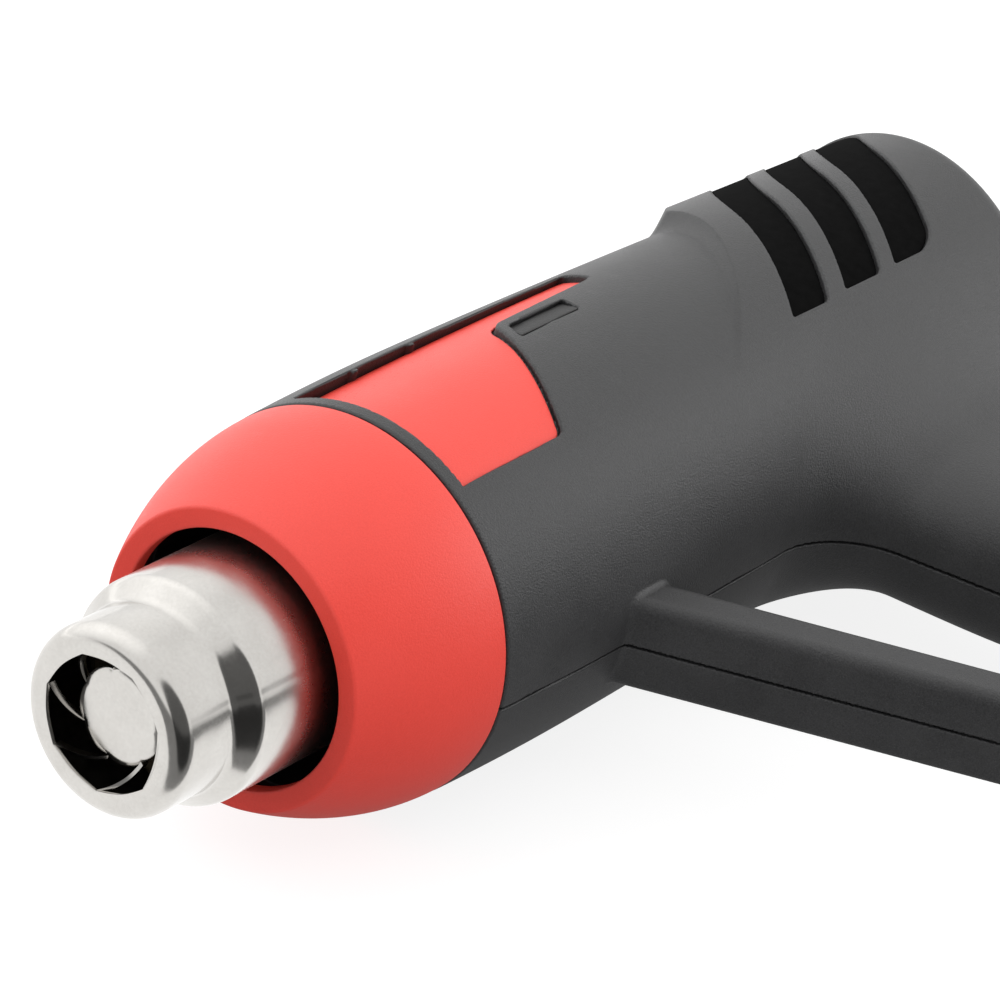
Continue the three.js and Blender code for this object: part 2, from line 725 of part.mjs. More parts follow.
function ventScreen() {
  const outside = WALL + SEAT_GAP;
  const skin = motorEnd(outside).subtract(motorEnd(outside + SCREEN_THICK));
  const rear = VENT_FRONT_X + (VENT_COUNT - 1) * VENT_PITCH + VENT_WIDTH + SCREEN_MARGIN;
  const shape = ventShape(
    VENT_FRONT_X - SCREEN_MARGIN,
    rear,
    VENT_LOW_Y - SCREEN_MARGIN,
    VENT_TOP_Y,
  );
  return prism(shape, VENT_INNER_Z, FAR).intersect(skin);
}

// Front: collar, nose ring and nozzle
const seatR = COLLAR_REAR_R - COLLAR_SEAT_WALL;
const noseR = seatR - SLIDE_GAP;

function domeRadius(x) {
  const drop = COLLAR_REAR_R - COLLAR_FACE_R;
  const reach = (SEAM_X - x) / (SEAM_X - COLLAR_FACE_X);
  return COLLAR_REAR_R - drop * Math.max(reach, 0) ** COLLAR_FULLNESS;
}

function collar() {
  const profile = [[COLLAR_FACE_X, COLLAR_MOUTH_R]];
  for (let i = 0; i <= COLLAR_STEPS; i += 1) {
    const x = THREE.MathUtils.lerp(COLLAR_FACE_X, SEAM_X, i / COLLAR_STEPS);
    profile.push([x, domeRadius(x)]);
  }
  const seatX = SEAM_X - COLLAR_SEAT_LENGTH;
  profile.push([SEAM_X, seatR], [seatX, seatR]);
  for (let i = COLLAR_STEPS; i >= 0; i -= 1) {
    const x = THREE.MathUtils.lerp(COLLAR_FACE_X + COLLAR_WALL, seatX - COLLAR_WALL, i / COLLAR_STEPS);
    profile.push([x, Math.max(domeRadius(x) - COLLAR_WALL, COLLAR_MOUTH_R)]);
  }
  profile.push([COLLAR_FACE_X, COLLAR_MOUTH_R]);
  return lathe(profile, NOSE_SIDES);
}

// The ring reaches forwards until the inside of the dome closes in on it
function noseFrontX() {
  const room = COLLAR_REAR_R - COLLAR_WALL - NOSE_CLEARANCE - noseR;
  const reach = (room / (COLLAR_REAR_R - COLLAR_FACE_R)) ** (1 / COLLAR_FULLNESS);
  return SEAM_X - reach * (SEAM_X - COLLAR_FACE_X);
}

function noseRing() {
  return ring(noseFrontX(), HOUSING_FRONT_X - SEAT_GAP, noseR - NOSE_WALL, noseR, NOSE_SIDES);
}

const flangeX = HOUSING_FRONT_X + WALL + SEAT_GAP;
const discX = CORE_FRONT_X + CORE_LENGTH + CORE_REAR_ROOM;
const nozzleRearX = discX + DISC_THICK;

function nozzle() {
  const stepEnd = NOZZLE_STEP_X + NOZZLE_STEP_LENGTH;
  const wall = NOZZLE_WALL;
  const lipX = NOZZLE_FRONT_X + wall;
  const roundX = NOZZLE_FRONT_X + NOZZLE_ROUND;
  const roundR = NOZZLE_FRONT_R - NOZZLE_ROUND;
  const profile = [[NOZZLE_FRONT_X, NOZZLE_MOUTH_R]];
  for (let i = 0; i <= CURVE_STEPS; i += 1) {
    const angle = (i / CURVE_STEPS) * (Math.PI / 2);
    profile.push([roundX - NOZZLE_ROUND * Math.cos(angle), roundR + NOZZLE_ROUND * Math.sin(angle)]);
  }
  for (let i = 0; i <= CURVE_STEPS; i += 1) {
    const share = i / CURVE_STEPS;
    const rise = (1 - Math.cos(share * Math.PI)) / 2;
    const x = THREE.MathUtils.lerp(NOZZLE_STEP_X, stepEnd, share);
    profile.push([x, THREE.MathUtils.lerp(NOZZLE_FRONT_R, NOZZLE_REAR_R, rise)]);
  }
  profile.push([flangeX, NOZZLE_REAR_R], [flangeX, NOZZLE_FLANGE_R]);
  profile.push([flangeX + wall, NOZZLE_FLANGE_R], [flangeX + wall, NOZZLE_REAR_R]);
  profile.push([nozzleRearX, NOZZLE_REAR_R], [nozzleRearX, NOZZLE_REAR_R - wall]);
  profile.push([stepEnd + wall / 2, NOZZLE_REAR_R - wall]);
  profile.push([NOZZLE_STEP_X + wall / 2, NOZZLE_FRONT_R - wall]);
  profile.push([roundX, NOZZLE_FRONT_R - wall], [lipX, roundR], [lipX, NOZZLE_MOUTH_R], profile[0]);
  return lathe(profile, NOSE_SIDES);
}

function swirlPlate() {
  const outer = NOZZLE_FRONT_R - NOZZLE_WALL - SEAT_GAP;
  const back = SWIRL_X + SWIRL_THICK;
  const rim = ring(SWIRL_X, back, outer - SWIRL_RING, outer, INNER_SIDES);
  const disc = rodX(SWIRL_DISC_R, SWIRL_X, back, 0, 0, INNER_SIDES);
  const arms = aroundX(SWIRL_ARMS, () => {
    const reach = outer - SWIRL_RING / 2;
    const start = new THREE.Vector2(SWIRL_DISC_R - SWIRL_RING, 0);
    const end = new THREE.Vector2(reach, 0).rotateAround(new THREE.Vector2(), SWIRL_SWEEP);
    const along = end.clone().sub(start).normalize();
    const aside = new THREE.Vector2(-along.y, along.x).multiplyScalar(SWIRL_ARM_WIDTH / 2);
    const near = [end.clone().add(aside), start.clone().add(aside)];
    const corners = [start.sub(aside), end.sub(aside), ...near];
    const arm = prismX(new THREE.Shape(corners), SWIRL_X, back);
    return arm.intersect(rodX(reach, SWIRL_X, back, 0, 0, INNER_SIDES));
  });
  return joined([rim, disc, ...arms]);
}

// Heater
const sleeveOuterR = NOZZLE_REAR_R - NOZZLE_WALL - SEAT_GAP;
const sleeveInnerR = sleeveOuterR - SLEEVE_WALL;

function micaSleeve() {
  return ring(SLEEVE_FRONT_X, discX - SEAT_GAP, sleeveInnerR, sleeveOuterR, INNER_SIDES);
}

function heaterCore() {
  const tip = sleeveInnerR - SEAT_GAP;
  const waist = tip - COIL_DEPTH;
  const rear = CORE_FRONT_X + CORE_LENGTH;
  const half = CORE_PLATE / 2;
  const plate = (reach, x0, x1) => block(x0, x1, -reach, reach, -half, half);
  const flat = joined([
    plate(waist, CORE_FRONT_X, rear),
    plate(tip, CORE_FRONT_X, CORE_FRONT_X + CORE_END),
    plate(tip, rear - CORE_END, rear),
  ]);
  return flat.add(turnedX(flat, Math.PI / 2));
}

class CoilPath extends THREE.Curve {
  constructor(radius, startX, endX, turns) {
    super();
    Object.assign(this, { radius, startX, endX, turns });
  }

  getPoint(t, target = new THREE.Vector3()) {
    const angle = 2 * Math.PI * this.turns * t;
    const x = THREE.MathUtils.lerp(this.startX, this.endX, t);
    return target.set(x, this.radius * Math.cos(angle), this.radius * Math.sin(angle));
  }
}

function heaterCoil() {
  const waist = sleeveInnerR - SEAT_GAP - COIL_DEPTH;
  const lead = CORE_END + COIL_WIRE_R + SEAT_GAP;
  const path = new CoilPath(
    waist + COIL_GAP + COIL_WIRE_R,
    CORE_FRONT_X + lead,
    CORE_FRONT_X + CORE_LENGTH - lead,
    COIL_TURNS,
  );
  const section = new THREE.Shape();
  for (let i = 0; i < COIL_SIDES; i += 1) {
    const angle = (i / COIL_SIDES) * 2 * Math.PI;
    const x = COIL_WIRE_R * Math.cos(angle);
    const y = COIL_WIRE_R * Math.sin(angle);
    if (i === 0) section.moveTo(x, y);
    else section.lineTo(x, y);
  }
  const options = { steps: COIL_TURNS * COIL_STEPS_PER_TURN, bevelEnabled: false, extrudePath: path };
  return toSolid(new THREE.ExtrudeGeometry(section, options));
}

function heaterDisc() {
  const plate = rodX(sleeveOuterR, discX, nozzleRearX, 0, 0, INNER_SIDES);
  const holes = aroundX(DISC_HOLES, () =>
    rodX(DISC_HOLE_R, discX - WALL, nozzleRearX + WALL, DISC_HOLE_CIRCLE_R, 0, SMALL_SIDES),
  );
  return plate.subtract(joined(holes));
}

function tubeSupport() {
  const outer = barrelRadius(SUPPORT_X) - WALL - SEAT_GAP;
  const inner = NOZZLE_REAR_R + SEAT_GAP;
  const plate = ring(SUPPORT_X, SUPPORT_X + SUPPORT_THICK, inner, outer, INNER_SIDES);
  const middleR = (inner + outer) / 2;
  const holes = aroundX(SUPPORT_HOLES, () =>
    rodX(SUPPORT_HOLE_R, SUPPORT_X - WALL, SUPPORT_X + 2 * SUPPORT_THICK, middleR, 0, SMALL_SIDES),
  );
  return plate.subtract(joined(holes));
}

function thermalCutout() {
  const [length, height, width] = CUTOUT_SIZE;
  const x = nozzleRearX + SEAT_GAP;
  return block(x, x + length, -height / 2, height / 2, -width / 2, width / 2);
}

// Fan and motor
function fanImpeller() {
  const hub = rodX(FAN_HUB_R, FAN_X, fanRearX, 0, 0, INNER_SIDES);
  const blades = aroundX(FAN_BLADES, () => {
    const geometry = new THREE.BoxGeometry(FAN_BLADE_CHORD, FAN_R, FAN_BLADE_THICK);
    geometry.translate(0, (FAN_HUB_R + FAN_R) / 2, 0).rotateY(FAN_BLADE_PITCH);
    return toSolid(geometry.translate((FAN_X + fanRearX) / 2, 0, 0));
  });
  const space = ring(FAN_X, fanRearX, boreR, FAN_R, INNER_SIDES);
  return joined([hub, ...blades]).intersect(space);
}

function fanShroud() {
  const inner = FAN_R + FAN_TIP_GAP;
  const outer = inner + SHROUD_WALL;
  const armX = motorFrontX;
  const rim = ring(FAN_X - SHROUD_LEAD, armX + SHROUD_ARM_DEPTH, inner, outer, INNER_SIDES);
  const cupInner = MOTOR_R + SEAT_GAP;
  const cupOuter = cupInner + MOTOR_CUP_WALL;
  const cup = ring(armX, armX + MOTOR_CUP_DEPTH, cupInner, cupOuter, INNER_SIDES);
  const arms = aroundX(SHROUD_ARMS, () =>
    block(
      armX,
      armX + SHROUD_ARM_DEPTH,
      cupInner + MOTOR_CUP_WALL / 2,
      inner + SHROUD_WALL / 2,
      -SHROUD_ARM_WIDTH / 2,
      SHROUD_ARM_WIDTH / 2,
    ),
  );
  return joined([rim, cup, ...arms]);
}

function motorShaft() {
  const bushRear = motorRearX + END_CAP_THICK;
  return rodX(SHAFT_R, FAN_X, bushRear + SHAFT_TAIL, 0, 0, SMALL_SIDES);
}

function motorCan() {
  const shell = ring(motorFrontX, motorRearX, MOTOR_R - MOTOR_WALL, MOTOR_R, INNER_SIDES);
  const face = ring(motorFrontX, motorFrontX + MOTOR_WALL, BUSH_R + SEAT_GAP, MOTOR_R, INNER_SIDES);
  const cupR = BUSH_R + SEAT_GAP;
  const cup = ring(motorFrontX, motorFrontX + BUSH_LENGTH, cupR, cupR + BUSH_HOUSING_WALL, INNER_SIDES);
  return joined([shell, face, cup]);
}

function motorEndCap() {
  const x0 = motorRearX + SEAT_GAP;
  const x1 = motorRearX + END_CAP_THICK;
  const cupR = BUSH_R + SEAT_GAP;
  const face = ring(x0, x1, cupR, MOTOR_R, INNER_SIDES);
  const cup = ring(x1 - BUSH_LENGTH, x1, cupR, cupR + BUSH_HOUSING_WALL, INNER_SIDES);
  return face.add(cup);
}

function bush(x0) {
  return ring(x0, x0 + BUSH_LENGTH, boreR, BUSH_R, SMALL_SIDES);
}

function armature() {
  const middle = (motorFrontX + motorRearX) / 2;
  return ring(middle - ARMATURE_LENGTH / 2, middle + ARMATURE_LENGTH / 2, boreR, ARMATURE_R, INNER_SIDES);
}

function rectifierBoard() {
  const x0 = motorRearX + END_CAP_THICK + SHAFT_TAIL + SEAT_GAP;
  const x1 = x0 + BOARD_THICK;
  const board = rodX(BOARD_R, x0, x1, 0, 0, INNER_SIDES);
  const diodes = aroundX(DIODES, () =>
    rodX(DIODE_R, x1 - BOARD_THICK / 2, x1 + DIODE_LENGTH, BOARD_R / 2, 0, SMALL_SIDES),
  );
  const footFrontX = motorRearX + END_CAP_THICK + SEAT_GAP;
  const feet = aroundX(DIODES, () =>
    rodX(DIODE_R, footFrontX, x0 + BOARD_THICK / 2, 0, BOARD_R - DIODE_R, SMALL_SIDES),
  );
  return joined([board, ...diodes, ...feet]);
}

// Switch
function switchSlider() {
  const top = SEAT_GAP + SLIDE_PAD_THICK;
  const pad = slideBlock(-slidePadHalf, slidePadHalf, SEAT_GAP, top, SLIDE_PAD_WIDTH / 2);
  const half = SLIDE_STEM_LENGTH / 2;
  const stem = slideBlock(-half, half, -SLIDE_STEM_DEPTH, SLIDE_PAD_THICK, SLIDE_STEM_WIDTH / 2);
  const ribs = Array.from({ length: SLIDE_RIBS }, (_, i) => {
    const u = (i - (SLIDE_RIBS - 1) / 2) * SLIDE_RIB_PITCH;
    const size = SLIDE_RIB_SIZE;
    const reach = SLIDE_PAD_WIDTH / 2 - SLIDE_RIB_INSET;
    return slideBlock(u - size / 2, u + size / 2, top - size, top + size, reach);
  });
  return joined([pad, stem, ...ribs]);
}

function switchBody() {
  const { u0, u1, v0, v1, half } = switchBox();
  return slideBlock(u0, u1, v0, v1, half);
}

function suppressor() {
  const { u0, u1, v0, v1, half } = suppressorBox();
  return slideBlock(u0, u1, v0, v1, half);
}

// Cord inlet
function cordGland() {
  const outer = GLAND_BORE_R + GLAND_WALL;
  const low = HANDLE_BASE_Y - SEAT_GAP - GLAND_FLANGE_THICK;
  const tube = rodY(outer, low, low + GLAND_LENGTH, glandX, 0, INNER_SIDES);
  const flange = rodY(outer + GLAND_FLANGE, low, low + GLAND_FLANGE_THICK, glandX, 0, INNER_SIDES);
  const bore = rodY(GLAND_BORE_R, low - WALL, low + GLAND_LENGTH + WALL, glandX, 0, INNER_SIDES);
  return tube.add(flange).subtract(bore);
}

function cordClamp() {
  const [length, width, thick] = CLAMP_BAR;
  const centreX = (handleFrontX(clampY) + handleBackX(clampY)) / 2;
  const z0 = CLAMP_Z + SEAT_GAP;
  const bar = block(
    centreX - length / 2,
    centreX + length / 2,
    clampY - width / 2,
    clampY + width / 2,
    z0,
    z0 + thick,
  );
  const holes = clampHoles(SCREW_R + SCREW_GAP, z0 - WALL, z0 + 2 * thick);
  return bar.subtract(joined(holes));
}

// A screw along Z whose head rests on z = seat and whose shank runs to z = tip
function screw(x, y, seat, tip) {
  const away = Math.sign(tip - seat);
  const headFrom = seat - away * SCREW_HEAD_THICK;
  const [shankLow, shankHigh] = [Math.min(headFrom, tip), Math.max(headFrom, tip)];
  const [headLow, headHigh] = [Math.min(seat, headFrom), Math.max(seat, headFrom)];
  const shank = rodZ(SCREW_R, shankLow, shankHigh, x, y, SMALL_SIDES);
  const head = rodZ(SCREW_HEAD_R, headLow, headHigh, x, y, SMALL_SIDES);
  const depth = SCREW_HEAD_THICK / 2;
  const slot = block(
    x - SCREW_HEAD_R,
    x + SCREW_HEAD_R,
    y - SCREW_SLOT / 2,
    y + SCREW_SLOT / 2,
    headFrom - depth,
    headFrom + depth,
  );
  return shank.add(head).subtract(slot);
}

// Assembly
const tool = new THREE.Group();

function addPiece(name, solid, material) {
  const mesh = new THREE.Mesh(toGeometry(solid), material);
  mesh.name = name;
  tool.add(mesh);
}

const halves = housingHalves();
addPiece("left_housing", halves.left, MATERIALS.greyPlastic);
addPiece("right_housing", halves.right, MATERIALS.greyPlastic);
for (const [side, place] of [["left", (solid) => solid], ["right", mirrored]]) {
  const inlay = trimPlate(INLAY, INLAY_SINK, RECESS_DEPTH);
  const badge = trimPlate(BADGE, BADGE_SINK, BADGE_DEPTH);
  addPiece(`${side}_inlay`, place(inlay), MATERIALS.redPlastic);
  addPiece(`${side}_badge`, place(badge), MATERIALS.blackPlastic);
  addPiece(`${side}_vent_screen`, place(ventScreen()), MATERIALS.blackPlastic);
}
addPiece("front_collar", collar(), MATERIALS.redPlastic);
addPiece("nose_ring", noseRing(), MATERIALS.blackPlastic);
addPiece("nozzle_tube", nozzle(), MATERIALS.polishedSteel);
addPiece("swirl_plate", swirlPlate(), MATERIALS.polishedSteel);
addPiece("mica_sleeve", micaSleeve(), MATERIALS.mica);
addPiece("heater_core", heaterCore(), MATERIALS.mica);
addPiece("heater_coil", heaterCoil(), MATERIALS.heaterWire);
addPiece("heater_disc", heaterDisc(), MATERIALS.mica);
addPiece("tube_support", tubeSupport(), MATERIALS.blackPlastic);
addPiece("thermal_cutout", thermalCutout(), MATERIALS.blackPlastic);
addPiece("fan_shroud", fanShroud(), MATERIALS.blackPlastic);
addPiece("fan_impeller", fanImpeller(), MATERIALS.blackPlastic);
addPiece("motor_shaft", motorShaft(), MATERIALS.motorSteel);
addPiece("armature", armature(), MATERIALS.motorSteel);
addPiece("motor_can", motorCan(), MATERIALS.motorSteel);
addPiece("motor_end_cap", motorEndCap(), MATERIALS.blackPlastic);
addPiece("front_bush", bush(motorFrontX), MATERIALS.bronze);
addPiece("rear_bush", bush(motorRearX + END_CAP_THICK - BUSH_LENGTH), MATERIALS.bronze);
addPiece("rectifier_board", rectifierBoard(), MATERIALS.boardGreen);
addPiece("switch_body", switchBody(), MATERIALS.blackPlastic);
addPiece("switch_slider", switchSlider(), MATERIALS.redPlastic);
addPiece("suppressor", suppressor(), MATERIALS.blackPlastic);
addPiece("cord_gland", cordGland(), MATERIALS.blackPlastic);
addPiece("cord_clamp", cordClamp(), MATERIALS.blackPlastic);
[-1, 1].forEach((side, i) => {
  const centreX = (handleFrontX(clampY) + handleBackX(clampY)) / 2;
  const seat = CLAMP_Z + SEAT_GAP + CLAMP_BAR[2] + SEAT_GAP;
  const made = screw(centreX + (side * CLAMP_HOLE_SPACING) / 2, clampY, seat, seat - CLAMP_SCREW_LENGTH);
  addPiece(`clamp_screw_${i + 1}`, made, MATERIALS.screwSteel);
});
SCREWS.forEach(([x, y, seat], i) => {
  const made = screw(x, y, -seat - SEAT_GAP, SCREW_REACH - SEAT_GAP);
  addPiece(`housing_screw_${i + 1}`, made, MATERIALS.screwSteel);
});

// Rest pose: the barrel's right side lies on the floor from belly to rear, and so does the handle's foot
const restRearX = REAR_X - REAR_ROUND;
const restPitch = Math.atan2(BARREL_BELLY_R - MOTOR_END_REAR_R, restRearX - BARREL_BELLY_X);
const footX = (handleFrontX(HANDLE_BASE_Y) + handleBackX(HANDLE_BASE_Y)) / 2;
const footY = HANDLE_BASE_Y + HANDLE_BASE_ROUND;
const footShare = THREE.MathUtils.mapLinear(footX, BARREL_BELLY_X, restRearX, 0, 1);
const footR = THREE.MathUtils.lerp(BARREL_BELLY_R, MOTOR_END_REAR_R, footShare);
const footReach = Math.hypot(footY, HANDLE_HALF_WIDTH);
const restTilt = Math.asin(footR / footReach) - Math.atan2(HANDLE_HALF_WIDTH, -footY);
tool.rotation.set(restTilt, restPitch, 0);
const part = new THREE.Group();
part.add(tool);
part.updateMatrixWorld(true);
const bounds = new THREE.Box3().setFromObject(part, true);
const middle = bounds.getCenter(new THREE.Vector3());
tool.position.set(-middle.x, -middle.y, -bounds.min.z);

export default part;
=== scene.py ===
import json
import math
from types import SimpleNamespace

import bpy
import numpy as np
from mathutils import Matrix, Vector


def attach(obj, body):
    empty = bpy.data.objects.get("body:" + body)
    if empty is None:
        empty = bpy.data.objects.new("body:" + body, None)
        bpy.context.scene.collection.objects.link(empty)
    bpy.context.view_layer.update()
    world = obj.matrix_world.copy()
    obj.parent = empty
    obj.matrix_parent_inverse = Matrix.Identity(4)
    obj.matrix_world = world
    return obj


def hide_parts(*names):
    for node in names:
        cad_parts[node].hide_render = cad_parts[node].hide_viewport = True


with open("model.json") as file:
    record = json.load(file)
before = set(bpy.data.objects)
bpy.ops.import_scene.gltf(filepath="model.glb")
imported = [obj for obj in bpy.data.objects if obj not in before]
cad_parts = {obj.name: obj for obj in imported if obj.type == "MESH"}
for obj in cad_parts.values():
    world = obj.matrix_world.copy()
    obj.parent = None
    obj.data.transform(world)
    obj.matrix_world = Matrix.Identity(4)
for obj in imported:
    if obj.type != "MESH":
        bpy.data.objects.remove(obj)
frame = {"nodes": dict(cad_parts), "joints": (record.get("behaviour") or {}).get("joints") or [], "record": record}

bl_info = {
    "name": "Hot Air Tool",
    "version": (1, 0, 0),
    "blender": (4, 5, 0),
    "location": "3D Viewport > Sidebar > Hot Air Tool",
    "description": "Builds the visible shells, trim and metal parts of a hot air tool on its CAD frame",
    "category": "Object",
}

# Lengths below are in millimetres along the tool's own axes:
# X back from the nozzle along the barrel, Y up as the tool is held, Z to the tool's left.
MM = 0.001
TINY = 1e-6
SIDES = {"left": 1, "right": -1}

# Barrel and motor end
FRONT_X = 61.85
FRONT_ROUND = 0.4
BELLY_X = 95
WAIST_X = 182
FRONT_R = 36.3
BELLY_R = 37
WAIST_R = 35.4
BELLY_POWER = 2
WAIST_POWER = 1.5
WALL = 3
MOUTH_R = 20.9
MOUTH_ROOM = 2
MOUTH_EDGE = 0.3
HALF_GAP = 0.2
HALF_ROUND = 0.22
REST_ROUND = 1
STEP_RIM_X = 165
STEP_RUN = 3.6
STEP_EASE = 0.08
STEP_SLOPE = 0.95
STEP_CURVE = 0.0095
STEP_TOP_Y = 26
STEP_TOP_SLOPE = 1.8
STEP_TOP_SOFT = 2
DRUM_RISE = 3.65
DRUM_FRONT_R = 36.8
DRUM_REAR_R = 35.1
REAR_X = 248.8
REAR_SLOPE = 0.2
REAR_ROUND = 5.7
CASING_BOX = ((58, -173, -1), (260, 44, 40))

# Handle and hand guard
HANDLE_X = 172
HANDLE_Y = -59.6
HANDLE_TOP_Y = -8
HANDLE_SLANT = math.radians(19.6)
HANDLE_DEPTH = 44.2
HANDLE_HALF = 16.2
HANDLE_POWER = 2.8
FLARE_BACK = 26
FLARE_BACK_Y = (-70, -25)
FLARE_SIDE = 3
FLARE_SIDE_Y = (-48, -22)
NECK_FILLET = 14
BASE_Y = -170
BASE_ROUND = 3
GUARD_X = 97.6
GUARD_Y = -37.4
GUARD_TOP_Y = -20
GUARD_SLANT = math.radians(32.4)
GUARD_THICK = 10
GUARD_HALF = 9.4
GUARD_EDGE = 2.4
GUARD_DRAFT = 0.035
GUARD_FILLET = 1
TOE_ROUND = 16
LOOP_FLOOR_Y = -152
LOOP_ROUND = 8
HEEL_X = 215

# Inlay and its rail
INLAY_LEFT = 65.1
INLAY_LOW = -15
INLAY_TOP = 22.4
INLAY_SLANT = ((93.3, -15), (109.8, 14))
STRIP_LOW = ((109.8, 14), (142.4, 15.6))
STRIP_END = ((142.4, 15.6), (144.4, 22.4))
INLAY_ROUND = 1.2
INLAY_TURN = 2
INLAY_SINK = 0.7
INLAY_DIP = 1.6
INLAY_DIP_FROM = 2
INLAY_DIP_FADE = 0.9
INLAY_SEAM = 0.4
INLAY_THICK = 0.6
INLAY_GAP = 0.1
INLAY_EDGE = 0.35
INLAY_LIP = 0.25
INLAY_BOX = ((62, -18, 20), (148, 25, 39))
RAIL_WALL = 1.2
RAIL_LOW_Y = (6, 16)
RAIL_HIGH_Y = (32, 28)
RAIL_END_X = (154, 150)
RAIL_RIBS = (81.8, 98)
RAIL_RIB_R = 0.9
RAIL_RIB_SINK = 0.35
RAIL_RIB_FILLET = 0.3
TRIM_INNER_Z = 10
TRIM_KEEP = 0.4

# Badge
BADGE = ((108.4, 6.9), (126.8, 7.3), (128.4, 12.1), (111.2, 11.7))
BADGE_ROUND = 0.8
BADGE_SINK = 0.8
BADGE_THICK = 0.7
BADGE_GAP = 0.05
BADGE_EDGE = 0.1
BADGE_LIP = 0.05
BADGE_BOX = ((106, 4, 30), (131, 14, 39))

# Vents: a slot's front edge, width, lower end and the round of its lower rear corner.
# Their heights run round the drum.
VENTS = ((176.9, 12, -15, 1), (195.1, 12.2, -14.5, 1.2), (212.6, 14, -14.2, 4.5))
VENT_TOP = 49
VENT_SLOPE = 0.65
VENT_BEND = 0.021
VENT_BEND_FROM = 14
VENT_BEND_TO = 31
VENT_BEND_EASE = 14
VENT_ROUND = 0.6
VENT_EDGE = 0.4
VENT_SHOULDER = 3
VENT_REAR_ROOM = 6
VENT_INNER_Z = 6
SCREEN_GAP = 0.3
SCREEN_THICK = 1.2
SCREEN_EDGE = 1.2
SCREEN_BOX = ((160, -18, 5), (260, 44, 40))
# Black filling in each slot, partly the real screen and partly painted shade for the slot's depth: how far it sits
# under the surface, how much it rises towards the slot's top and from what height round the drum, and its gap to
# the slot's walls
SHADE_FILL_SINK = 1
SHADE_FILL_LIFT = 0.65
SHADE_FILL_LIFT_FROM = 6
SHADE_FILL_GAP = 0.08

# Slide switch
SWITCH_Y = -84
SLIDE_DEPTH = 1.4
SLIDE_TRAVEL = 10
SLIDE_GAP = 0.4
SLIDE_EDGE = 0.3
SLIDE_SLOT = 6
SLIDE_BOX = ((210, -115, -6), (250, -60, 6))
SLIDE_KEEP = 0.5
PAD_HALF = 17
PAD_WIDTH = 9.5
PAD_HEIGHT = 2.1
PAD_CROWN = 0.5
PAD_ROUND = 0.8
PAD_FOOT = 0.2
PAD_RIBS = 5
PAD_PITCH = 2.6
PAD_RIB_R = 1
PAD_RIB_SINK = 0.35
PAD_RIB_INSET = 1
PAD_RIB_FILLET = 0.3
STEM_HALF = 4
STEM_WIDTH = 5
STEM_MIDDLE = -2
STEM_REACH = 3.8

# Cord inlet
GLAND_BACK = 17
GLAND_R = 6.3
GLAND_PLAY = 0.3
GLAND_EDGE = 0.3
GLAND_ROOM = 2
GLAND_FLANGE_R = 8.3
GLAND_FLANGE = 3
GLAND_LENGTH = 10
GLAND_MOUTH_ROUND = 0.9
GLAND_RIM_ROUND = 0.8
GLAND_SEAT_ROUND = 0.3
GLAND_END_ROUND = 0.4
GLAND_SEGMENTS = 96
SEAT_GAP = 0.3

# Screws: each one's place from the side and the depth of its seat
SCREWS = ((122, 26, 14), (122, -26, 14), (236, 6, 16), (214, -44, 9), (183, -60, 9),
          (217, -140, 9), (131.5, -81.5, 6), (196, -161, 6))
SCREW_R = 3
SCREW_THICK = 2.4
SCREW_DOME = 0.1
SCREW_ROUND = 0.5
SCREW_FOOT_ROUND = 0.2
SCREW_GAP = 0.3
SCREW_EDGE = 0.3
SCREW_SHANK_R = 1.5
SCREW_SHANK = 12
SCREW_SHANK_ROUND = 0.3
SCREW_OVERLAP = 1
SCREW_REACH = 8
SCREW_CROSS = 0.5
SCREW_CROSS_SHARE = 0.62
SCREW_CROSS_FLOOR = 1
SCREW_CROSS_EDGE = 0.12
SCREW_BOX = ((-4, -4, -4), (4, 4, SCREW_SHANK + 1))
SCREW_STEP = 0.22
BOSS_WALL = 1.5
BOSS_FLOOR = 3

# Collar and nose ring
COLLAR_X = 31.2
COLLAR_FACE_R = 27.4
COLLAR_REAR_R = 36.2
COLLAR_FULL = 1.91
COLLAR_STEPS = 40
COLLAR_LIP_ROUND = 0.5
COLLAR_FACE_ROUND = 0.9
COLLAR_REAR_ROUND = 0.35
COLLAR_REAR_WALL = 3.4
COLLAR_SEAT = 8
COLLAR_SEAT_GAP = 0.3
COLLAR_INNER_FROM = 4
COLLAR_INNER_TO = 12
COLLAR_INNER_ROOM = 1
COLLAR_LIP = 3
SEAM_X = 61.5
NOSE_R = 30.3
NOSE_WALL = 2.6
NOSE_LENGTH = 18
NOSE_ROUND = 0.4

# Nozzle
NOZZLE_X = -1.4
NOZZLE_FRONT_R = 17.3
NOZZLE_REAR_R = 20.5
NOZZLE_STEP_X = 12
NOZZLE_STEP = 4
NOZZLE_STEP_LEAD = 0.8
NOZZLE_INNER_LEAD = 1
NOZZLE_END_X = 61
NOZZLE_LIP = 0.5
NOZZLE_LIP_ROUND = 0.15
NOZZLE_ROUND = 3.2
NOZZLE_STEP_ROUND = 2.5
NOZZLE_END_ROUND = 0.2
NOZZLE_INNER_ROUND = 1
NOZZLE_MOUTH_ROUND = 2.4
NOZZLE_ARC_STEPS = 8
STEEL_DULL = (16, 30)
SEAM_ANGLE = math.radians(149)
SEAM_WIDTH = 0.6
SEAM_DEPTH = 0.06

# Swirl plate
SWIRL_X = 3
SWIRL_ARMS = 7
SWIRL_START = math.radians(3.5)
SWIRL_TURN = math.radians(-41)
SWIRL_NOTCH = 0.45
SWIRL_NOTCH_POWER = 3
SWIRL_NOTCH_LEVEL = 0.4
SWIRL_SCALLOP = 0.5
SWIRL_SCALLOP_FROM = 4
SWIRL_SCALLOP_POWER = 0.6
SWIRL_SCALLOP_LEVEL = 0.8
SWIRL_SEGMENTS = 144
SWIRL_ARM_ROWS = 10
SWIRL_ARM_ROOT = 0.5
SWIRL_ARM_OVERLAP = 0.6
SWIRL_ARM_SINK = 0.3
SWIRL_ARM_LEVEL = 0.2
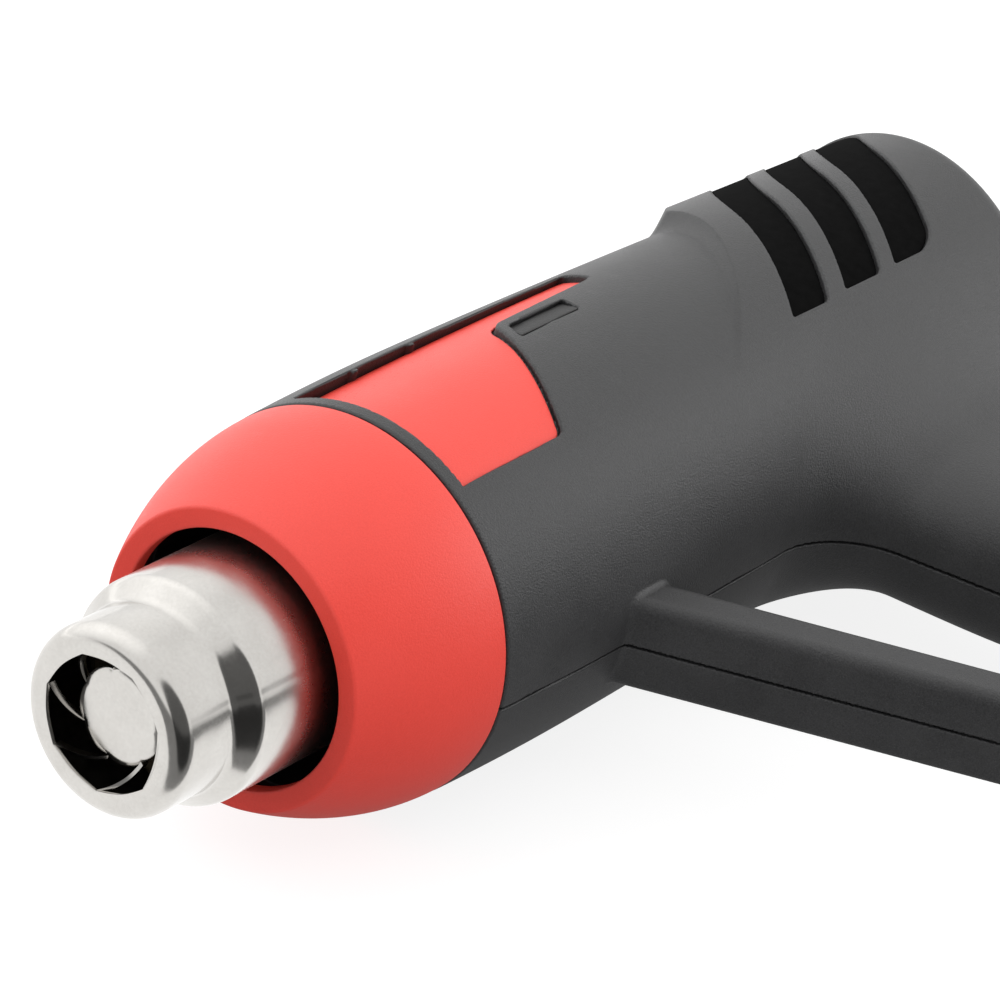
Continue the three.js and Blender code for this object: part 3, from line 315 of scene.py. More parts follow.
# The disc's rings: how far each lies behind its front, and its radius or how far it lies in from the rim
SWIRL_RINGS = ((0, 0.2, None), (0, 4, None), (-0.05, None, 1.2), (0, None, 0.4),
               (0.2, None, 0), (0.7, None, 0), (0.7, 0.2, None))

# Meshing
COARSE = 6
CHUNK = 400000
REFINE_TURNS = 3
LEAST_SLOPE = 0.2
SLOPE_REACH = 0.06
ARC_STEPS = 6
SHARP = math.radians(38)

# Studio: a pale surround above a dimmer table, with a dark side behind the camera.
# Directions run along the tool's axes.
HORIZON = (-0.04, 0.06)
DARK_SIDE = (-0.42, -0.88, 0.22)
DARK_SPREAD = (math.radians(41), math.radians(47))
DARK_SHARE = 0.12
SKY_SIDE = (-0.05, 0.8, 0.6)
SKY_SPREAD = (math.radians(8), math.radians(54))
SKY_GAIN = 1.5
STEEL_PIECES = ("nozzle_shell", "swirl_vanes")
RED_PIECES = ("collar_shell", "left_inlay_plate", "right_inlay_plate")
CASING_PIECES = ("left_casing", "right_casing")
MOULDED_PIECES = (*RED_PIECES, *CASING_PIECES, "left_badge_plate", "right_badge_plate")
# A lamp's place in metres from the tool's middle, the way it faces, its roll, size and power,
# whether matt and glossy surfaces take its light, and the pieces that it lights
LAMPS = {
    "right_box": ((0.74, -0.45, 0.50), (-0.74, 0.45, -0.50), 0, 0.45, 1.6, True, True, MOULDED_PIECES),
    "front_fill": ((-0.46, -0.99, 0.09), (0.46, 0.99, -0.09), 0, 1.0, 5.4, True, False, RED_PIECES),
    "low_fill": ((-0.46, -0.99, 0.09), (0.46, 0.99, -0.09), 0, 1.0, 11.5, True, False, CASING_PIECES),
    "table_glow": ((3.84, 4.04, -0.46), (0, 0, 1), 45, 12.0, 460, False, True, STEEL_PIECES),
    "back_table": ((1.17, 1.17, -0.05), (0, 0, 1), 45, 3.0, 28, True, True, MOULDED_PIECES),
}
FLOOR_HALF = 4
FLOOR_SHADE = (0.3, 0.3, 0.3, 1)
WHITE = (1, 1, 1, 1)
# The camera's place and its right and up, along the tool's axes
CAMERA_PLACE = (-560.28, -370.32, 480.37)
CAMERA_RIGHT = (0.59812524, -0.76346374, 0.24365818)
CAMERA_UP = (0.30314505, 0.49698911, 0.81308358)
CAMERA_SENSOR = 36
CAMERA_REACH = 20


def tool_axes():
    """The tool's own axes in the frame, from its fan joint and its foot."""
    spin = next(j for j in frame["joints"] if j["name"] == "fan_spin")
    foot = next(m for m in frame["record"]["mounts"] if m["name"] == "handle_foot")
    back = Vector(spin["axis"]).normalized()
    left = back.cross(-Vector(foot["axis"])).normalized()
    turn = Matrix((back, left.cross(back), left)).transposed().to_4x4()
    return Matrix.Translation(spin["pos_m"]) @ turn


TOOL = tool_axes()


# Signed distances, negative inside
def join(a, b, fillet):
    """The two shapes together, with a fillet of that radius where they meet."""
    if not fillet:
        return np.minimum(a, b)
    corner = np.hypot(np.maximum(fillet - a, 0), np.maximum(fillet - b, 0))
    return np.maximum(np.minimum(a, b), fillet) - corner


def meet(a, b, rounding):
    """What the two shapes share, with its edge rounded to that radius."""
    return -join(-a, -b, rounding)


def cut(a, b, rounding):
    """The first shape without the second, with the edge rounded to that radius."""
    return meet(a, -b, rounding)


def ease(low, high, value):
    """From 0 to 1 as the value goes from low to high, with soft ends."""
    t = np.clip((value - low) / (high - low), 0, 1)
    return t * t * (3 - 2 * t)


def beside(x, y, ends):
    """Distance to the right of the line through two points."""
    (x0, y0), (x1, y1) = ends
    return ((x - x0) * (y1 - y0) - (y - y0) * (x1 - x0)) / math.hypot(x1 - x0, y1 - y0)


def polygon(x, y, corners, rounding):
    """A convex outline, corners counter-clockwise."""
    shape = beside(x, y, (corners[-1], corners[0]))
    for ends in zip(corners, corners[1:]):
        shape = meet(shape, beside(x, y, ends), rounding)
    return shape


# Outside of the casing
def barrel_radius(x):
    """Radius of the barrel, widest at its belly."""
    ahead = np.clip((BELLY_X - x) / (BELLY_X - FRONT_X), 0, None)
    behind = np.clip((x - BELLY_X) / (WAIST_X - BELLY_X), 0, None)
    return BELLY_R - (BELLY_R - FRONT_R) * ahead**BELLY_POWER - (BELLY_R - WAIST_R) * behind**WAIST_POWER


def step_rim(y):
    """Where the drum's front edge lies: it leans back with the height, most of all over the top."""
    over = np.hypot(np.maximum(y - STEP_TOP_Y, 0), STEP_TOP_SOFT) - STEP_TOP_SOFT
    return STEP_RIM_X + STEP_SLOPE * y - STEP_CURVE * y * y + STEP_TOP_SLOPE * over


def body_radius(x, y, z):
    """Radius of the barrel and of the raised oval drum behind its slanted step."""
    round_r = barrel_radius(x)
    rim = step_rim(y)
    behind = x - rim
    share = np.clip(behind / (REAR_X + REAR_SLOPE * y - rim), 0, 1)
    drum = DRUM_FRONT_R + (DRUM_REAR_R - DRUM_FRONT_R) * share
    reach = np.hypot(y, z) + TINY
    up, out = y / reach, z / reach
    oval = 1 + DRUM_RISE / (2 * DRUM_FRONT_R)
    rise = DRUM_RISE / 2
    a = (up / oval) ** 2 + out**2
    b = up * rise / oval**2
    c = (rise / oval) ** 2 - drum**2
    raised = (b + np.sqrt(b * b - a * c)) / a
    climb = np.clip(behind / STEP_RUN + 1, 0, 2) ** 2
    crown = np.maximum(STEP_EASE - np.abs(climb - 1), 0) ** 2 / (4 * STEP_EASE)
    return round_r + np.maximum(raised - round_r, 0) * (np.minimum(climb, 1) - crown)


def over_body(x, y, z):
    """Height over the side of the barrel and the drum."""
    return np.hypot(y, z) - body_radius(x, y, z)


def past_rear(x, y):
    """Distance along the barrel behind the slanted rear end."""
    return x - REAR_X - REAR_SLOPE * y


def body_shape(x, y, z):
    """The barrel and motor end, solid."""
    rear = past_rear(x, y) / math.hypot(1, REAR_SLOPE)
    return meet(meet(over_body(x, y, z), rear, REAR_ROUND), FRONT_X - x, FRONT_ROUND)


def handle_front(y):
    """Where the slanted handle's front lies at that height."""
    return HANDLE_X + (HANDLE_Y - y) * math.tan(HANDLE_SLANT)


def handle_shape(x, y, z):
    """The handle, which flares to the barrel at its top and stands on a flat foot."""
    half = (HANDLE_DEPTH + FLARE_BACK * ease(*FLARE_BACK_Y, y)) / 2
    wide = HANDLE_HALF + FLARE_SIDE * ease(*FLARE_SIDE_Y, y)
    middle = x - handle_front(y) - half
    along, across = np.abs(middle / half), np.abs(z / wide)
    power = (along**HANDLE_POWER + across**HANDLE_POWER) ** (1 / HANDLE_POWER) + TINY
    side = np.hypot(middle, z) * (1 - 1 / power) * math.cos(HANDLE_SLANT)
    return meet(meet(side, BASE_Y - y, BASE_ROUND), y - HANDLE_TOP_Y, 0)


def guard_shape(x, y, z):
    """The loop in front of the hand: a slanted bar, its toe and the foot back to the handle."""
    draft = GUARD_DRAFT * np.abs(z)
    front = -math.cos(GUARD_SLANT) * (x - GUARD_X) - math.sin(GUARD_SLANT) * (y - GUARD_Y) + draft
    outer = meet(front, BASE_Y - y + draft, TOE_ROUND)
    gap = meet(front - 2 * draft + GUARD_THICK, LOOP_FLOOR_Y - y - draft, LOOP_ROUND)
    loop = np.maximum(np.maximum(outer, -gap), np.maximum(y - GUARD_TOP_Y, x - HEEL_X))
    return meet(loop, np.abs(z) - GUARD_HALF, GUARD_EDGE)


def outside(x, y, z):
    """The whole closed outside of the casing."""
    grip = join(body_shape(x, y, z), handle_shape(x, y, z), NECK_FILLET)
    return join(grip, guard_shape(x, y, z), GUARD_FILLET)


def rest_plane(x, y, z):
    """Depth under the plane that the tool lies on."""
    level = TOOL[2]
    return -(level[0] * x + level[1] * y + level[2] * z + level[3] / MM)


# Outlines of the trim and the slots
def inlay_outline(x, y, seam=0):
    """The inlay seen from the side, with a seam of that width along its slanted edge."""
    turn = join(beside(x, y, INLAY_SLANT), beside(x, y, STRIP_LOW), INLAY_TURN) + seam
    ends = np.maximum(INLAY_LEFT - x, INLAY_LOW - y)
    rails = meet(y - INLAY_TOP, beside(x, y, STRIP_END), INLAY_ROUND)
    return meet(meet(turn, rails, INLAY_ROUND), ends, INLAY_ROUND)


def inlay_sink(x, y):
    """The plate lies deepest along its upper edge, and less deep towards the strip's end."""
    dip = INLAY_DIP - INLAY_DIP_FADE * ease(INLAY_LEFT, STRIP_END[1][0], x)
    return INLAY_SINK + dip * ease(INLAY_DIP_FROM, INLAY_TOP, y)


def badge_sink(y):
    """The badge lies level with the barrel along its lower edge and deepest along its upper one."""
    return BADGE_SINK * ease(BADGE[0][1], BADGE[3][1], y)


def vent_lean(y, z):
    """How far up round the drum a point lies, and how far back the slots have leant there."""
    climb = DRUM_FRONT_R * np.arctan2(y, z)
    over = np.clip(climb - VENT_BEND_TO, 0, VENT_BEND_EASE)
    leaning = np.minimum(climb, VENT_BEND_TO) + over - over**2 / (2 * VENT_BEND_EASE)
    return climb, VENT_SLOPE * leaning + VENT_BEND * np.maximum(leaning - VENT_BEND_FROM, 0) ** 2


def vent_outline(x, y, z, vent):
    """One slot: square to its lean, with a shoulder at the top and along the rear end."""
    front, width, low, corner = vent
    climb, lean = vent_lean(y, z)
    along = (x - front - lean) / math.hypot(1, VENT_SLOPE)
    rear = meet(along - width / math.hypot(1, VENT_SLOPE), low - climb, corner)
    rear = meet(rear, past_rear(x, y) + VENT_REAR_ROOM, VENT_SHOULDER)
    return meet(meet(rear, -along, VENT_ROUND), climb - VENT_TOP, VENT_SHOULDER)


def slide_axes(x, y):
    """Distance down the handle's back from the switch, and out from its flat."""
    dx, dy = x - handle_front(SWITCH_Y) - HANDLE_DEPTH, y - SWITCH_Y
    down = dx * math.sin(HANDLE_SLANT) - dy * math.cos(HANDLE_SLANT)
    out = dx * math.cos(HANDLE_SLANT) + dy * math.sin(HANDLE_SLANT) + SLIDE_DEPTH
    return down, out


def gland_x():
    """Where the cord inlet's axis lies in the handle's foot."""
    return handle_front(BASE_Y) + HANDLE_DEPTH - GLAND_BACK


# Shapes of the casing and of its trim
def screw_seats(shell, solid, x, y, z):
    """The shell with a boss and a well for each screw."""
    for sx, sy, seat in SCREWS:
        reach = np.hypot(x - sx, y - sy)
        boss = np.maximum(np.maximum(reach - SCREW_R - BOSS_WALL, solid), seat - BOSS_FLOOR - z)
        well = np.maximum(reach - SCREW_R - SCREW_GAP, seat - z)
        shell = cut(np.minimum(shell, boss), well, SCREW_EDGE)
    return shell


def trim_recesses(shell, x, y, z):
    """The shell with its recess for the inlay, the rail's ribs, the badge's place and the vents."""
    body = over_body(x, y, z)
    depth = inlay_sink(x, y) + INLAY_THICK
    shell = cut(shell, np.maximum(inlay_outline(x, y), -body - depth), INLAY_EDGE)
    for rib_x in RAIL_RIBS:
        rib = np.hypot(x - rib_x, y - INLAY_TOP) - RAIL_RIB_R
        level = np.maximum(body + RAIL_RIB_SINK, -body - depth)
        shell = join(shell, np.maximum(rib, level), RAIL_RIB_FILLET)
    sunk = np.maximum(polygon(x, y, BADGE, BADGE_ROUND), -body - badge_sink(y) - BADGE_THICK)
    shell = cut(shell, sunk, BADGE_EDGE)
    for vent in VENTS:
        shell = cut(shell, np.maximum(vent_outline(x, y, z, vent), VENT_INNER_Z - z), VENT_EDGE)
    return shell


def openings(shell, x, y, z):
    """The shell with its mouth, the thumb slide's flat and slot, and the cord inlet's hole."""
    mouth = np.maximum(np.hypot(y, z) - MOUTH_R, x - FRONT_X - WALL - MOUTH_ROOM)
    shell = cut(shell, mouth, MOUTH_EDGE)
    down, out = slide_axes(x, y)
    pad = np.maximum(down - PAD_HALF - SLIDE_TRAVEL, -PAD_HALF - down) - SLIDE_GAP
    flat = np.maximum(np.maximum(pad, z - PAD_WIDTH / 2 - SLIDE_GAP), -out)
    stem = np.maximum(down - STEM_HALF - SLIDE_TRAVEL, -STEM_HALF - down) - SLIDE_GAP
    slot = np.maximum(np.maximum(stem, z - STEM_WIDTH / 2 - SLIDE_GAP), np.abs(out) - SLIDE_SLOT)
    shell = cut(cut(shell, flat, SLIDE_EDGE), slot, 0)
    gland = np.hypot(x - gland_x(), z) - GLAND_R - GLAND_PLAY
    return cut(shell, np.maximum(gland, y - BASE_Y - WALL - GLAND_ROOM), GLAND_EDGE)


def casing_shape(side):
    """Distance to one half of the casing."""

    def shape(x, y, z):
        z = z * side
        solid = outside(x, y, z)
        if side < 0:
            solid = meet(solid, rest_plane(x, y, -z), REST_ROUND)
        rail = RAIL_WALL * ease(*RAIL_LOW_Y, y) * ease(*RAIL_HIGH_Y, y) * ease(*RAIL_END_X, x)
        shell = np.maximum(solid, -(solid + WALL + rail))
        if side < 0:
            shell = screw_seats(shell, solid, x, y, z)
        shell = openings(trim_recesses(shell, x, y, z), x, y, z)
        return meet(shell, HALF_GAP - z, HALF_ROUND)

    return shape


def inlay_shape(side):
    """Distance to one inlay plate."""

    def shape(x, y, z):
        z = z * side
        body = over_body(x, y, z) + inlay_sink(x, y)
        plate = meet(body, inlay_outline(x, y, INLAY_SEAM) + INLAY_GAP, INLAY_LIP)
        return np.maximum(np.maximum(plate, -body - INLAY_THICK + INLAY_GAP), TRIM_INNER_Z - z)

    return shape


def badge_shape(side):
    """Distance to one bare badge plate."""

    def shape(x, y, z):
        z = z * side
        body = over_body(x, y, z) + badge_sink(y)
        plate = meet(body, polygon(x, y, BADGE, BADGE_ROUND) + BADGE_GAP, BADGE_LIP)
        return np.maximum(np.maximum(plate, -body - BADGE_THICK + INLAY_GAP), TRIM_INNER_Z - z)

    return shape


def screen_shape(side):
    """Distance to the screen behind one side's vents, with a black filling just under the surface in each slot:
    partly the real screen, partly painted shade for the slot's depth.
    """

    def shape(x, y, z):
        z = z * side
        surface = over_body(x, y, z)
        body = surface + WALL + SCREEN_GAP
        climb, lean = vent_lean(y, z)
        first, last = VENTS[0], VENTS[-1]
        along = np.maximum(first[0] + lean - SCREEN_EDGE - x, x - last[0] - lean - last[1] - SCREEN_EDGE)
        along = np.maximum(along, past_rear(x, y) + VENT_REAR_ROOM - SCREEN_EDGE)
        tall = np.maximum(first[2] - SCREEN_EDGE - climb, climb - VENT_TOP - SCREEN_EDGE)
        plate = np.maximum(np.maximum(body, -body - SCREEN_THICK), np.maximum(along, tall))
        # The filling lies just under the surface, where its black stands in for the shade deep in the slot:
        # painted shade.
        sink = SHADE_FILL_SINK - SHADE_FILL_LIFT * ease(SHADE_FILL_LIFT_FROM, VENT_BEND_TO, climb)
        depth = np.maximum(surface + sink, -body - SCREEN_THICK)
        for vent in VENTS:
            slot = vent_outline(x, y, z, vent) + SHADE_FILL_GAP
            plate = np.minimum(plate, np.maximum(slot, depth))
        return np.maximum(plate, VENT_INNER_Z + SCREEN_GAP - z)

    return shape


def slider_shape(x, y, z):
    """The thumb pad with its ribs, and the stem that reaches into the handle."""
    down, out = slide_axes(x, y)
    edge = np.maximum(np.abs(down) - PAD_HALF, np.abs(z) - PAD_WIDTH / 2)
    crown = PAD_HEIGHT - PAD_CROWN * (down / PAD_HALF) ** 2
    pad = meet(meet(edge, out - crown, PAD_ROUND), PAD_FOOT - out, PAD_FOOT)
    for index in range(PAD_RIBS):
        place = (index - (PAD_RIBS - 1) / 2) * PAD_PITCH
        rib = np.hypot(down - place, out - crown + PAD_RIB_SINK) - PAD_RIB_R
        pad = join(pad, np.maximum(rib, np.abs(z) - PAD_WIDTH / 2 + PAD_RIB_INSET), PAD_RIB_FILLET)
    stem = np.maximum(np.abs(down) - STEM_HALF, np.abs(z) - STEM_WIDTH / 2)
    return np.minimum(pad, np.maximum(stem, np.abs(out - STEM_MIDDLE) - STEM_REACH))


def screw_shape(x, y, z):
    """A screw with its head's seat at zero: a low dome with a cross recess, and its shank."""
    reach = np.hypot(x, y)
    dome = z + SCREW_THICK - SCREW_DOME * reach**2 / SCREW_R
    head = meet(meet(reach - SCREW_R, -dome, SCREW_ROUND), z, SCREW_FOOT_ROUND)
    arms = np.minimum(np.abs(x), np.abs(y)) - SCREW_CROSS
    cross = np.maximum(np.maximum(arms, reach - SCREW_CROSS_SHARE * SCREW_R), z + SCREW_CROSS_FLOOR)
    head = cut(head, cross, SCREW_CROSS_EDGE)
    ends = np.abs(z - SCREW_SHANK / 2 + SCREW_OVERLAP) - SCREW_SHANK / 2 - SCREW_OVERLAP
    shank = meet(reach - SCREW_SHANK_R, ends, SCREW_SHANK_ROUND)
    return join(head, shank, 0)


# Meshes
def slope_of(shape, points):
    """The shape's gradient at each point."""
    found = np.empty_like(points)
    for axis in range(3):
        move = np.zeros(3)
        move[axis] = SLOPE_REACH
        ahead, behind = points + move, points - move
        found[:, axis] = (shape(*ahead.T) - shape(*behind.T)) / (2 * SLOPE_REACH)
    return found


def field_near(shape, low, step, cells):
    """Distances on a fine grid, worked out only near the surface and otherwise just in or out."""
    big = step * COARSE
    middles = [low[k] + (np.arange(cells[k]) + 0.5) * big for k in range(3)]
    rough = shape(*np.meshgrid(*middles, indexing="ij"))
    near = np.abs(rough) < 2 * big
    spread = rough.astype(np.float32)
    for axis in range(3):
        spread = np.repeat(spread, COARSE, axis)
        near = np.repeat(near, COARSE, axis)
    spread = np.pad(spread, ((0, 1),) * 3, mode="edge")
    near = np.pad(near, ((0, 1),) * 3, mode="edge")
    for axis in range(3):
        near |= np.roll(near, 1, axis)
    wanted = np.flatnonzero(near)
    for part in np.array_split(wanted, max(1, len(wanted) // CHUNK)):
        place = np.unravel_index(part, spread.shape)
        spread.flat[part] = shape(*(low[k] + place[k] * step for k in range(3)))
    return spread


def crossings(field, cell):
    """The middle of the surface's crossings with each cell's edges, in cells."""
    total = np.zeros((len(cell), 3))
    hits = np.zeros(len(cell))
    for axis in range(3):
        unit = np.eye(3, dtype=int)[axis]
        for corner in np.ndindex(2, 2, 2):
            if corner[axis]:
                continue
            first = cell + corner
            a, b = field[tuple(first.T)], field[tuple((first + unit).T)]
            crosses = (a < 0) != (b < 0)
            share = np.where(crosses, a / np.where(crosses, a - b, 1), 0)
            total += np.where(crosses[:, None], np.array(corner) + share[:, None] * unit, 0)
            hits += crosses
    return cell + total / hits[:, None]


def net_faces(inside, number):
    """A four-sided face round each grid edge that the surface crosses, facing outwards."""
    faces = []
    for axis in range(3):
        one, two = (axis + 1) % 3, (axis + 2) % 3
        ahead = np.take(inside, range(1, inside.shape[axis]), axis)
        behind = np.take(inside, range(0, inside.shape[axis] - 1), axis)
        for leaves in (True, False):
            edge = np.argwhere((behind & ~ahead) if leaves else (ahead & ~behind))
            ring = []
            for da, db in ((1, 1), (0, 1), (0, 0), (1, 0)):
                near = edge.copy()
                near[:, one] -= da
                near[:, two] -= db
                ring.append(number[tuple(near.T)])
            faces.append(np.stack(ring if leaves else ring[::-1], 1))
    return np.concatenate(faces)


def net(shape, low, high, step):
    """Points and four-sided faces of the shape's surface, by surface nets."""
    low = np.array(low, float) - step
    cells = np.ceil((np.array(high, float) + step - low) / (step * COARSE)).astype(int)
    field = field_near(shape, low, step, cells)
    inside = field < 0
    size = np.array(field.shape) - 1
    count = np.zeros(size, np.int8)
    for corner in np.ndindex(2, 2, 2):
        count += inside[tuple(slice(c, c + n) for c, n in zip(corner, size))]
    crossed = (count > 0) & (count < 8)
    cell = np.argwhere(crossed)
    if not len(cell):
        raise RuntimeError("The shape has no surface in its box")
    number = np.full(size, -1, np.int64)
    number[crossed] = np.arange(len(cell))
    points = low + crossings(field, cell) * step
    for _ in range(REFINE_TURNS):
        slope = slope_of(shape, points)
        steep = np.maximum((slope**2).sum(1), LEAST_SLOPE)
        move = np.clip(shape(*points.T) / steep, -step / 2, step / 2)
        points = points - move[:, None] * slope
    return points, net_faces(inside, number)


def turned(profile, segments):
    """Points and faces of a closed outline of (x, radius) turned round the barrel's axis."""
    angle = np.linspace(0, 2 * np.pi, segments, endpoint=False)
    x, r = np.array(profile).T
    up, out = r * np.cos(angle)[:, None], r * np.sin(angle)[:, None]
    grid = np.stack(np.broadcast_arrays(x[None], up, out), -1)
    count = len(profile)
    turn, place = np.meshgrid(np.arange(segments), np.arange(count), indexing="ij")
    after, ahead = (turn + 1) % segments, (place + 1) % count
    ring = (turn * count + place, turn * count + ahead, after * count + ahead, after * count + place)
    return grid.reshape(-1, 3), np.stack([corner.ravel() for corner in ring], 1)


def eased(corners, steps=ARC_STEPS):
    """An outline of (x, radius, rounding) corners with an arc at each rounded corner."""
    outline = []
    for index, (x, y, size) in enumerate(corners):
        here = np.array((x, y), float)
        if not size:
            outline.append(tuple(here))
            continue
        before = np.array(corners[index - 1][:2]) - here
        after = np.array(corners[(index + 1) % len(corners)][:2]) - here
        before, after = before / np.linalg.norm(before), after / np.linalg.norm(after)
        half = math.acos(np.clip(before @ after, -1, 1)) / 2
        middle = here + (before + after) / np.linalg.norm(before + after) * size / math.sin(half)
        start, end = here + before * size / math.tan(half), here + after * size / math.tan(half)
        low = math.atan2(*(start - middle)[::-1])
        span = (math.atan2(*(end - middle)[::-1]) - low + math.pi) % (2 * math.pi) - math.pi
        for step in range(steps + 1):
            angle = low + span * step / steps
            outline.append(tuple(middle + size * np.array((math.cos(angle), math.sin(angle)))))
    return outline


def thin_out(obj, keep):
    """Leave the object that share of its faces."""
    full = obj.data
    thin = obj.modifiers.new("thin", "DECIMATE")
    thin.ratio = keep
    evaluated = obj.evaluated_get(bpy.context.evaluated_depsgraph_get())
    thinned = bpy.data.meshes.new_from_object(evaluated)
    obj.modifiers.clear()
    obj.data = thinned
    bpy.data.meshes.remove(full)
    thinned.name = obj.name


def add_piece(name, points, faces, finish, body, node, shape=None, keep=1.0):
    """A mesh from points along the tool's axes, which stands for a CAD node and rides on its body."""
    mesh = bpy.data.meshes.new(name)
    mesh.from_pydata(np.asarray(points).tolist(), [], [list(map(int, face)) for face in faces])
    obj = bpy.data.objects.new(name, mesh)
    bpy.context.scene.collection.objects.link(obj)
    if keep < 1:
        thin_out(obj, keep)
        mesh = obj.data
    mesh.polygons.foreach_set("use_smooth", np.ones(len(mesh.polygons), bool))
    if shape:
        flat = np.empty(len(mesh.vertices) * 3)
        mesh.vertices.foreach_get("co", flat)
        slope = slope_of(shape, flat.reshape(-1, 3))
        slope /= np.maximum(np.linalg.norm(slope, axis=1), TINY)[:, None]
        mesh.normals_split_custom_set_from_vertices(slope.tolist())
    else:
        mesh.set_sharp_from_angle(angle=SHARP)
    mesh.transform(TOOL @ Matrix.Scale(MM, 4))
    mesh.materials.append(finish)
    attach(obj, body)
    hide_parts(node)
    return obj


# Materials
LOOK = "look_"
# Sizes of lumps in metres, how they are drawn out, and the part of their range that shows
BROAD_LUMPS = 0.012
SCUFF_LUMPS = 0.004
SCUFF_STRETCH = (1, 0.25, 1)
SCUFF_SPAN = (0.62, 0.75)
TONE_SPAN = (0.3, 0.7)
GRAIN_SHARE = 0.75
GRAIN_PITCH = 1.6
GRAIN_CELLS = 0.4
GRAIN_DEPTH = 0.5
MARK_LUMPS = 0.0005
MARK_STRETCH = (0.15, 1, 1)
WAVE_LUMPS = 0.009
WAVE_DEPTH = 0.0004
SMUDGE_LUMPS = 0.006
SMUDGE_SHARE = 0.6
SPECK_LUMPS = 0.0006
STEEL_SPAN = (0.25, 0.75)
PATCH_LUMPS = 0.003
SCRATCH_LUMPS = 0.0007
SCRATCH_STRETCH = (1, 6, 1)
SCRATCH_DEPTH = 0.00005
MOTTLE_DEPTH = 0.05


class Wire:
    """A shader socket that takes part in expressions."""

    def __init__(self, finish, socket):
        self.finish = finish
        self.socket = socket

    def math(self, operation, first, second):
        return self.finish.node("ShaderNodeMath", {"operation": operation}, {0: first, 1: second})

    def __add__(self, other):
        return self.math("ADD", self, other)

    def __sub__(self, other):
        return self.math("SUBTRACT", self, other)

    def __rsub__(self, other):
        return self.math("SUBTRACT", other, self)

    def __mul__(self, other):
        return self.math("MULTIPLY", self, other)

    __radd__ = __add__
    __rmul__ = __mul__


class Finish:
    """A procedural material, or a world, and the nodes that feed its shader."""

    def __init__(self, owner, shader):
        owner.use_nodes = True
        self.tree = owner.node_tree
        self.owner = owner
        self.shader = self.tree.nodes[shader]

    def feed(self, node, sockets):
        """Set the node's sockets to values, or link wires to them."""
        for key, value in sockets.items():
            if isinstance(value, Wire):
                self.tree.links.new(value.socket, node.inputs[key])
            else:
                node.inputs[key].default_value = value

    def node(self, kind, settings, sockets, output=0):
        """A node of that type, with its settings and sockets, as the wire from its output."""
        node = self.tree.nodes.new(kind)
        for key, value in settings.items():
            setattr(node, key, value)
        self.feed(node, sockets)
        return Wire(self, node.outputs[output])

    def place(self):
        """The object's own coordinates, in metres."""
        return self.node("ShaderNodeTexCoord", {}, {}, "Object")

    def noise(self, size, detail=2.0, rough=0.5, stretch=(1, 1, 1)):
        """Soft noise from 0 to 1 with lumps of that size in metres."""
        where = self.node("ShaderNodeMapping", {}, {"Vector": self.place(), "Scale": stretch})
        return self.node("ShaderNodeTexNoise", {},
                         {"Vector": where, "Scale": 1 / size, "Detail": detail, "Roughness": rough})

    def cells(self, size):
        """Distance to the nearest of scattered points that far apart."""
        sockets = {"Vector": self.place(), "Scale": 1 / size}
        return self.node("ShaderNodeTexVoronoi", {}, sockets, "Distance")

    def span(self, value, low, high, to_low=0.0, to_high=1.0):
        """The value from low to high as a value from to_low to to_high, no further."""
        ends = {"From Min": low, "From Max": high, "To Min": to_low, "To Max": to_high}
        return self.node("ShaderNodeMapRange", {"clamp": True}, {"Value": value, **ends})

    def mix(self, share, first, second):
        """A colour from first to second."""
        return self.node("ShaderNodeMix", {"data_type": "RGBA"}, {0: share, 6: first, 7: second}, 2)

    def toward(self, look, direction):
        """How nearly the look goes that way: 1 along it, 0 across it."""
        dot = {"operation": "DOT_PRODUCT"}
        return self.node("ShaderNodeVectorMath", dot, {0: look, 1: direction}, "Value")

    def bump(self, height, strength, distance):
        """A surface direction from a height, which counts for that distance in metres."""
        sockets = {"Height": height, "Strength": strength, "Distance": distance}
        return self.node("ShaderNodeBump", {}, sockets)


def new_finish(name):
    """A new material under the looks' own prefix, apart from the frame's plain ones."""
    return Finish(bpy.data.materials.new(LOOK + name), "Principled BSDF")


def moulded(name, dark, light, rough, grain, relief, shine=0.5):
    """Moulded plastic with a fine spark-eroded grain and faint scuffs."""
    finish = new_finish(name)
    fine = finish.noise(grain, detail=3.0, rough=0.6)
    broad = finish.noise(BROAD_LUMPS, detail=3.0)
    rubbed = finish.noise(SCUFF_LUMPS, detail=4.0, rough=0.7, stretch=SCUFF_STRETCH)
    scuff = finish.span(rubbed, *SCUFF_SPAN)
    tone = finish.span(fine * GRAIN_SHARE + broad * (1 - GRAIN_SHARE), *TONE_SPAN)
    height = fine + finish.cells(grain * GRAIN_PITCH) * GRAIN_CELLS
    finish.feed(finish.shader, {
        "Base Color": finish.mix(tone, dark, light),
        "Roughness": rough + (broad - 0.5) * 0.12 - scuff * 0.06,
        "Specular IOR Level": shine,
        "Normal": finish.bump(height, relief, grain * GRAIN_DEPTH),
    })
    return finish.owner


def drawn_steel(name, dull_tone, bright, rough):
    """Bright steel with fine drawing marks, smudges and shallow waves, duller where it gets hottest."""
    finish = new_finish(name)
    axis = TOOL.col[0].to_3d()
    along = finish.toward(finish.place(), axis) - TOOL.translation.dot(axis)
    heat = finish.span(along, *(x * MM for x in STEEL_DULL))
    marks = finish.noise(MARK_LUMPS, stretch=MARK_STRETCH)
    wave = finish.noise(WAVE_LUMPS, detail=1.0)
    smudge = finish.noise(SMUDGE_LUMPS, detail=4.0, rough=0.6)
    speck = finish.noise(SPECK_LUMPS, rough=0.7)
    tone = finish.span(smudge * SMUDGE_SHARE + speck * (1 - SMUDGE_SHARE), *STEEL_SPAN)
    finish.feed(finish.shader, {
        "Base Color": finish.mix(tone, dull_tone, bright),
        "Metallic": 1.0,
        "Roughness": rough + heat * 0.12 + (smudge - 0.5) * 0.08 + (speck - 0.5) * 0.06,
        "Normal": finish.bump(marks * 0.006 + speck * 0.004 + wave, 0.6, WAVE_DEPTH),
    })
    return finish.owner


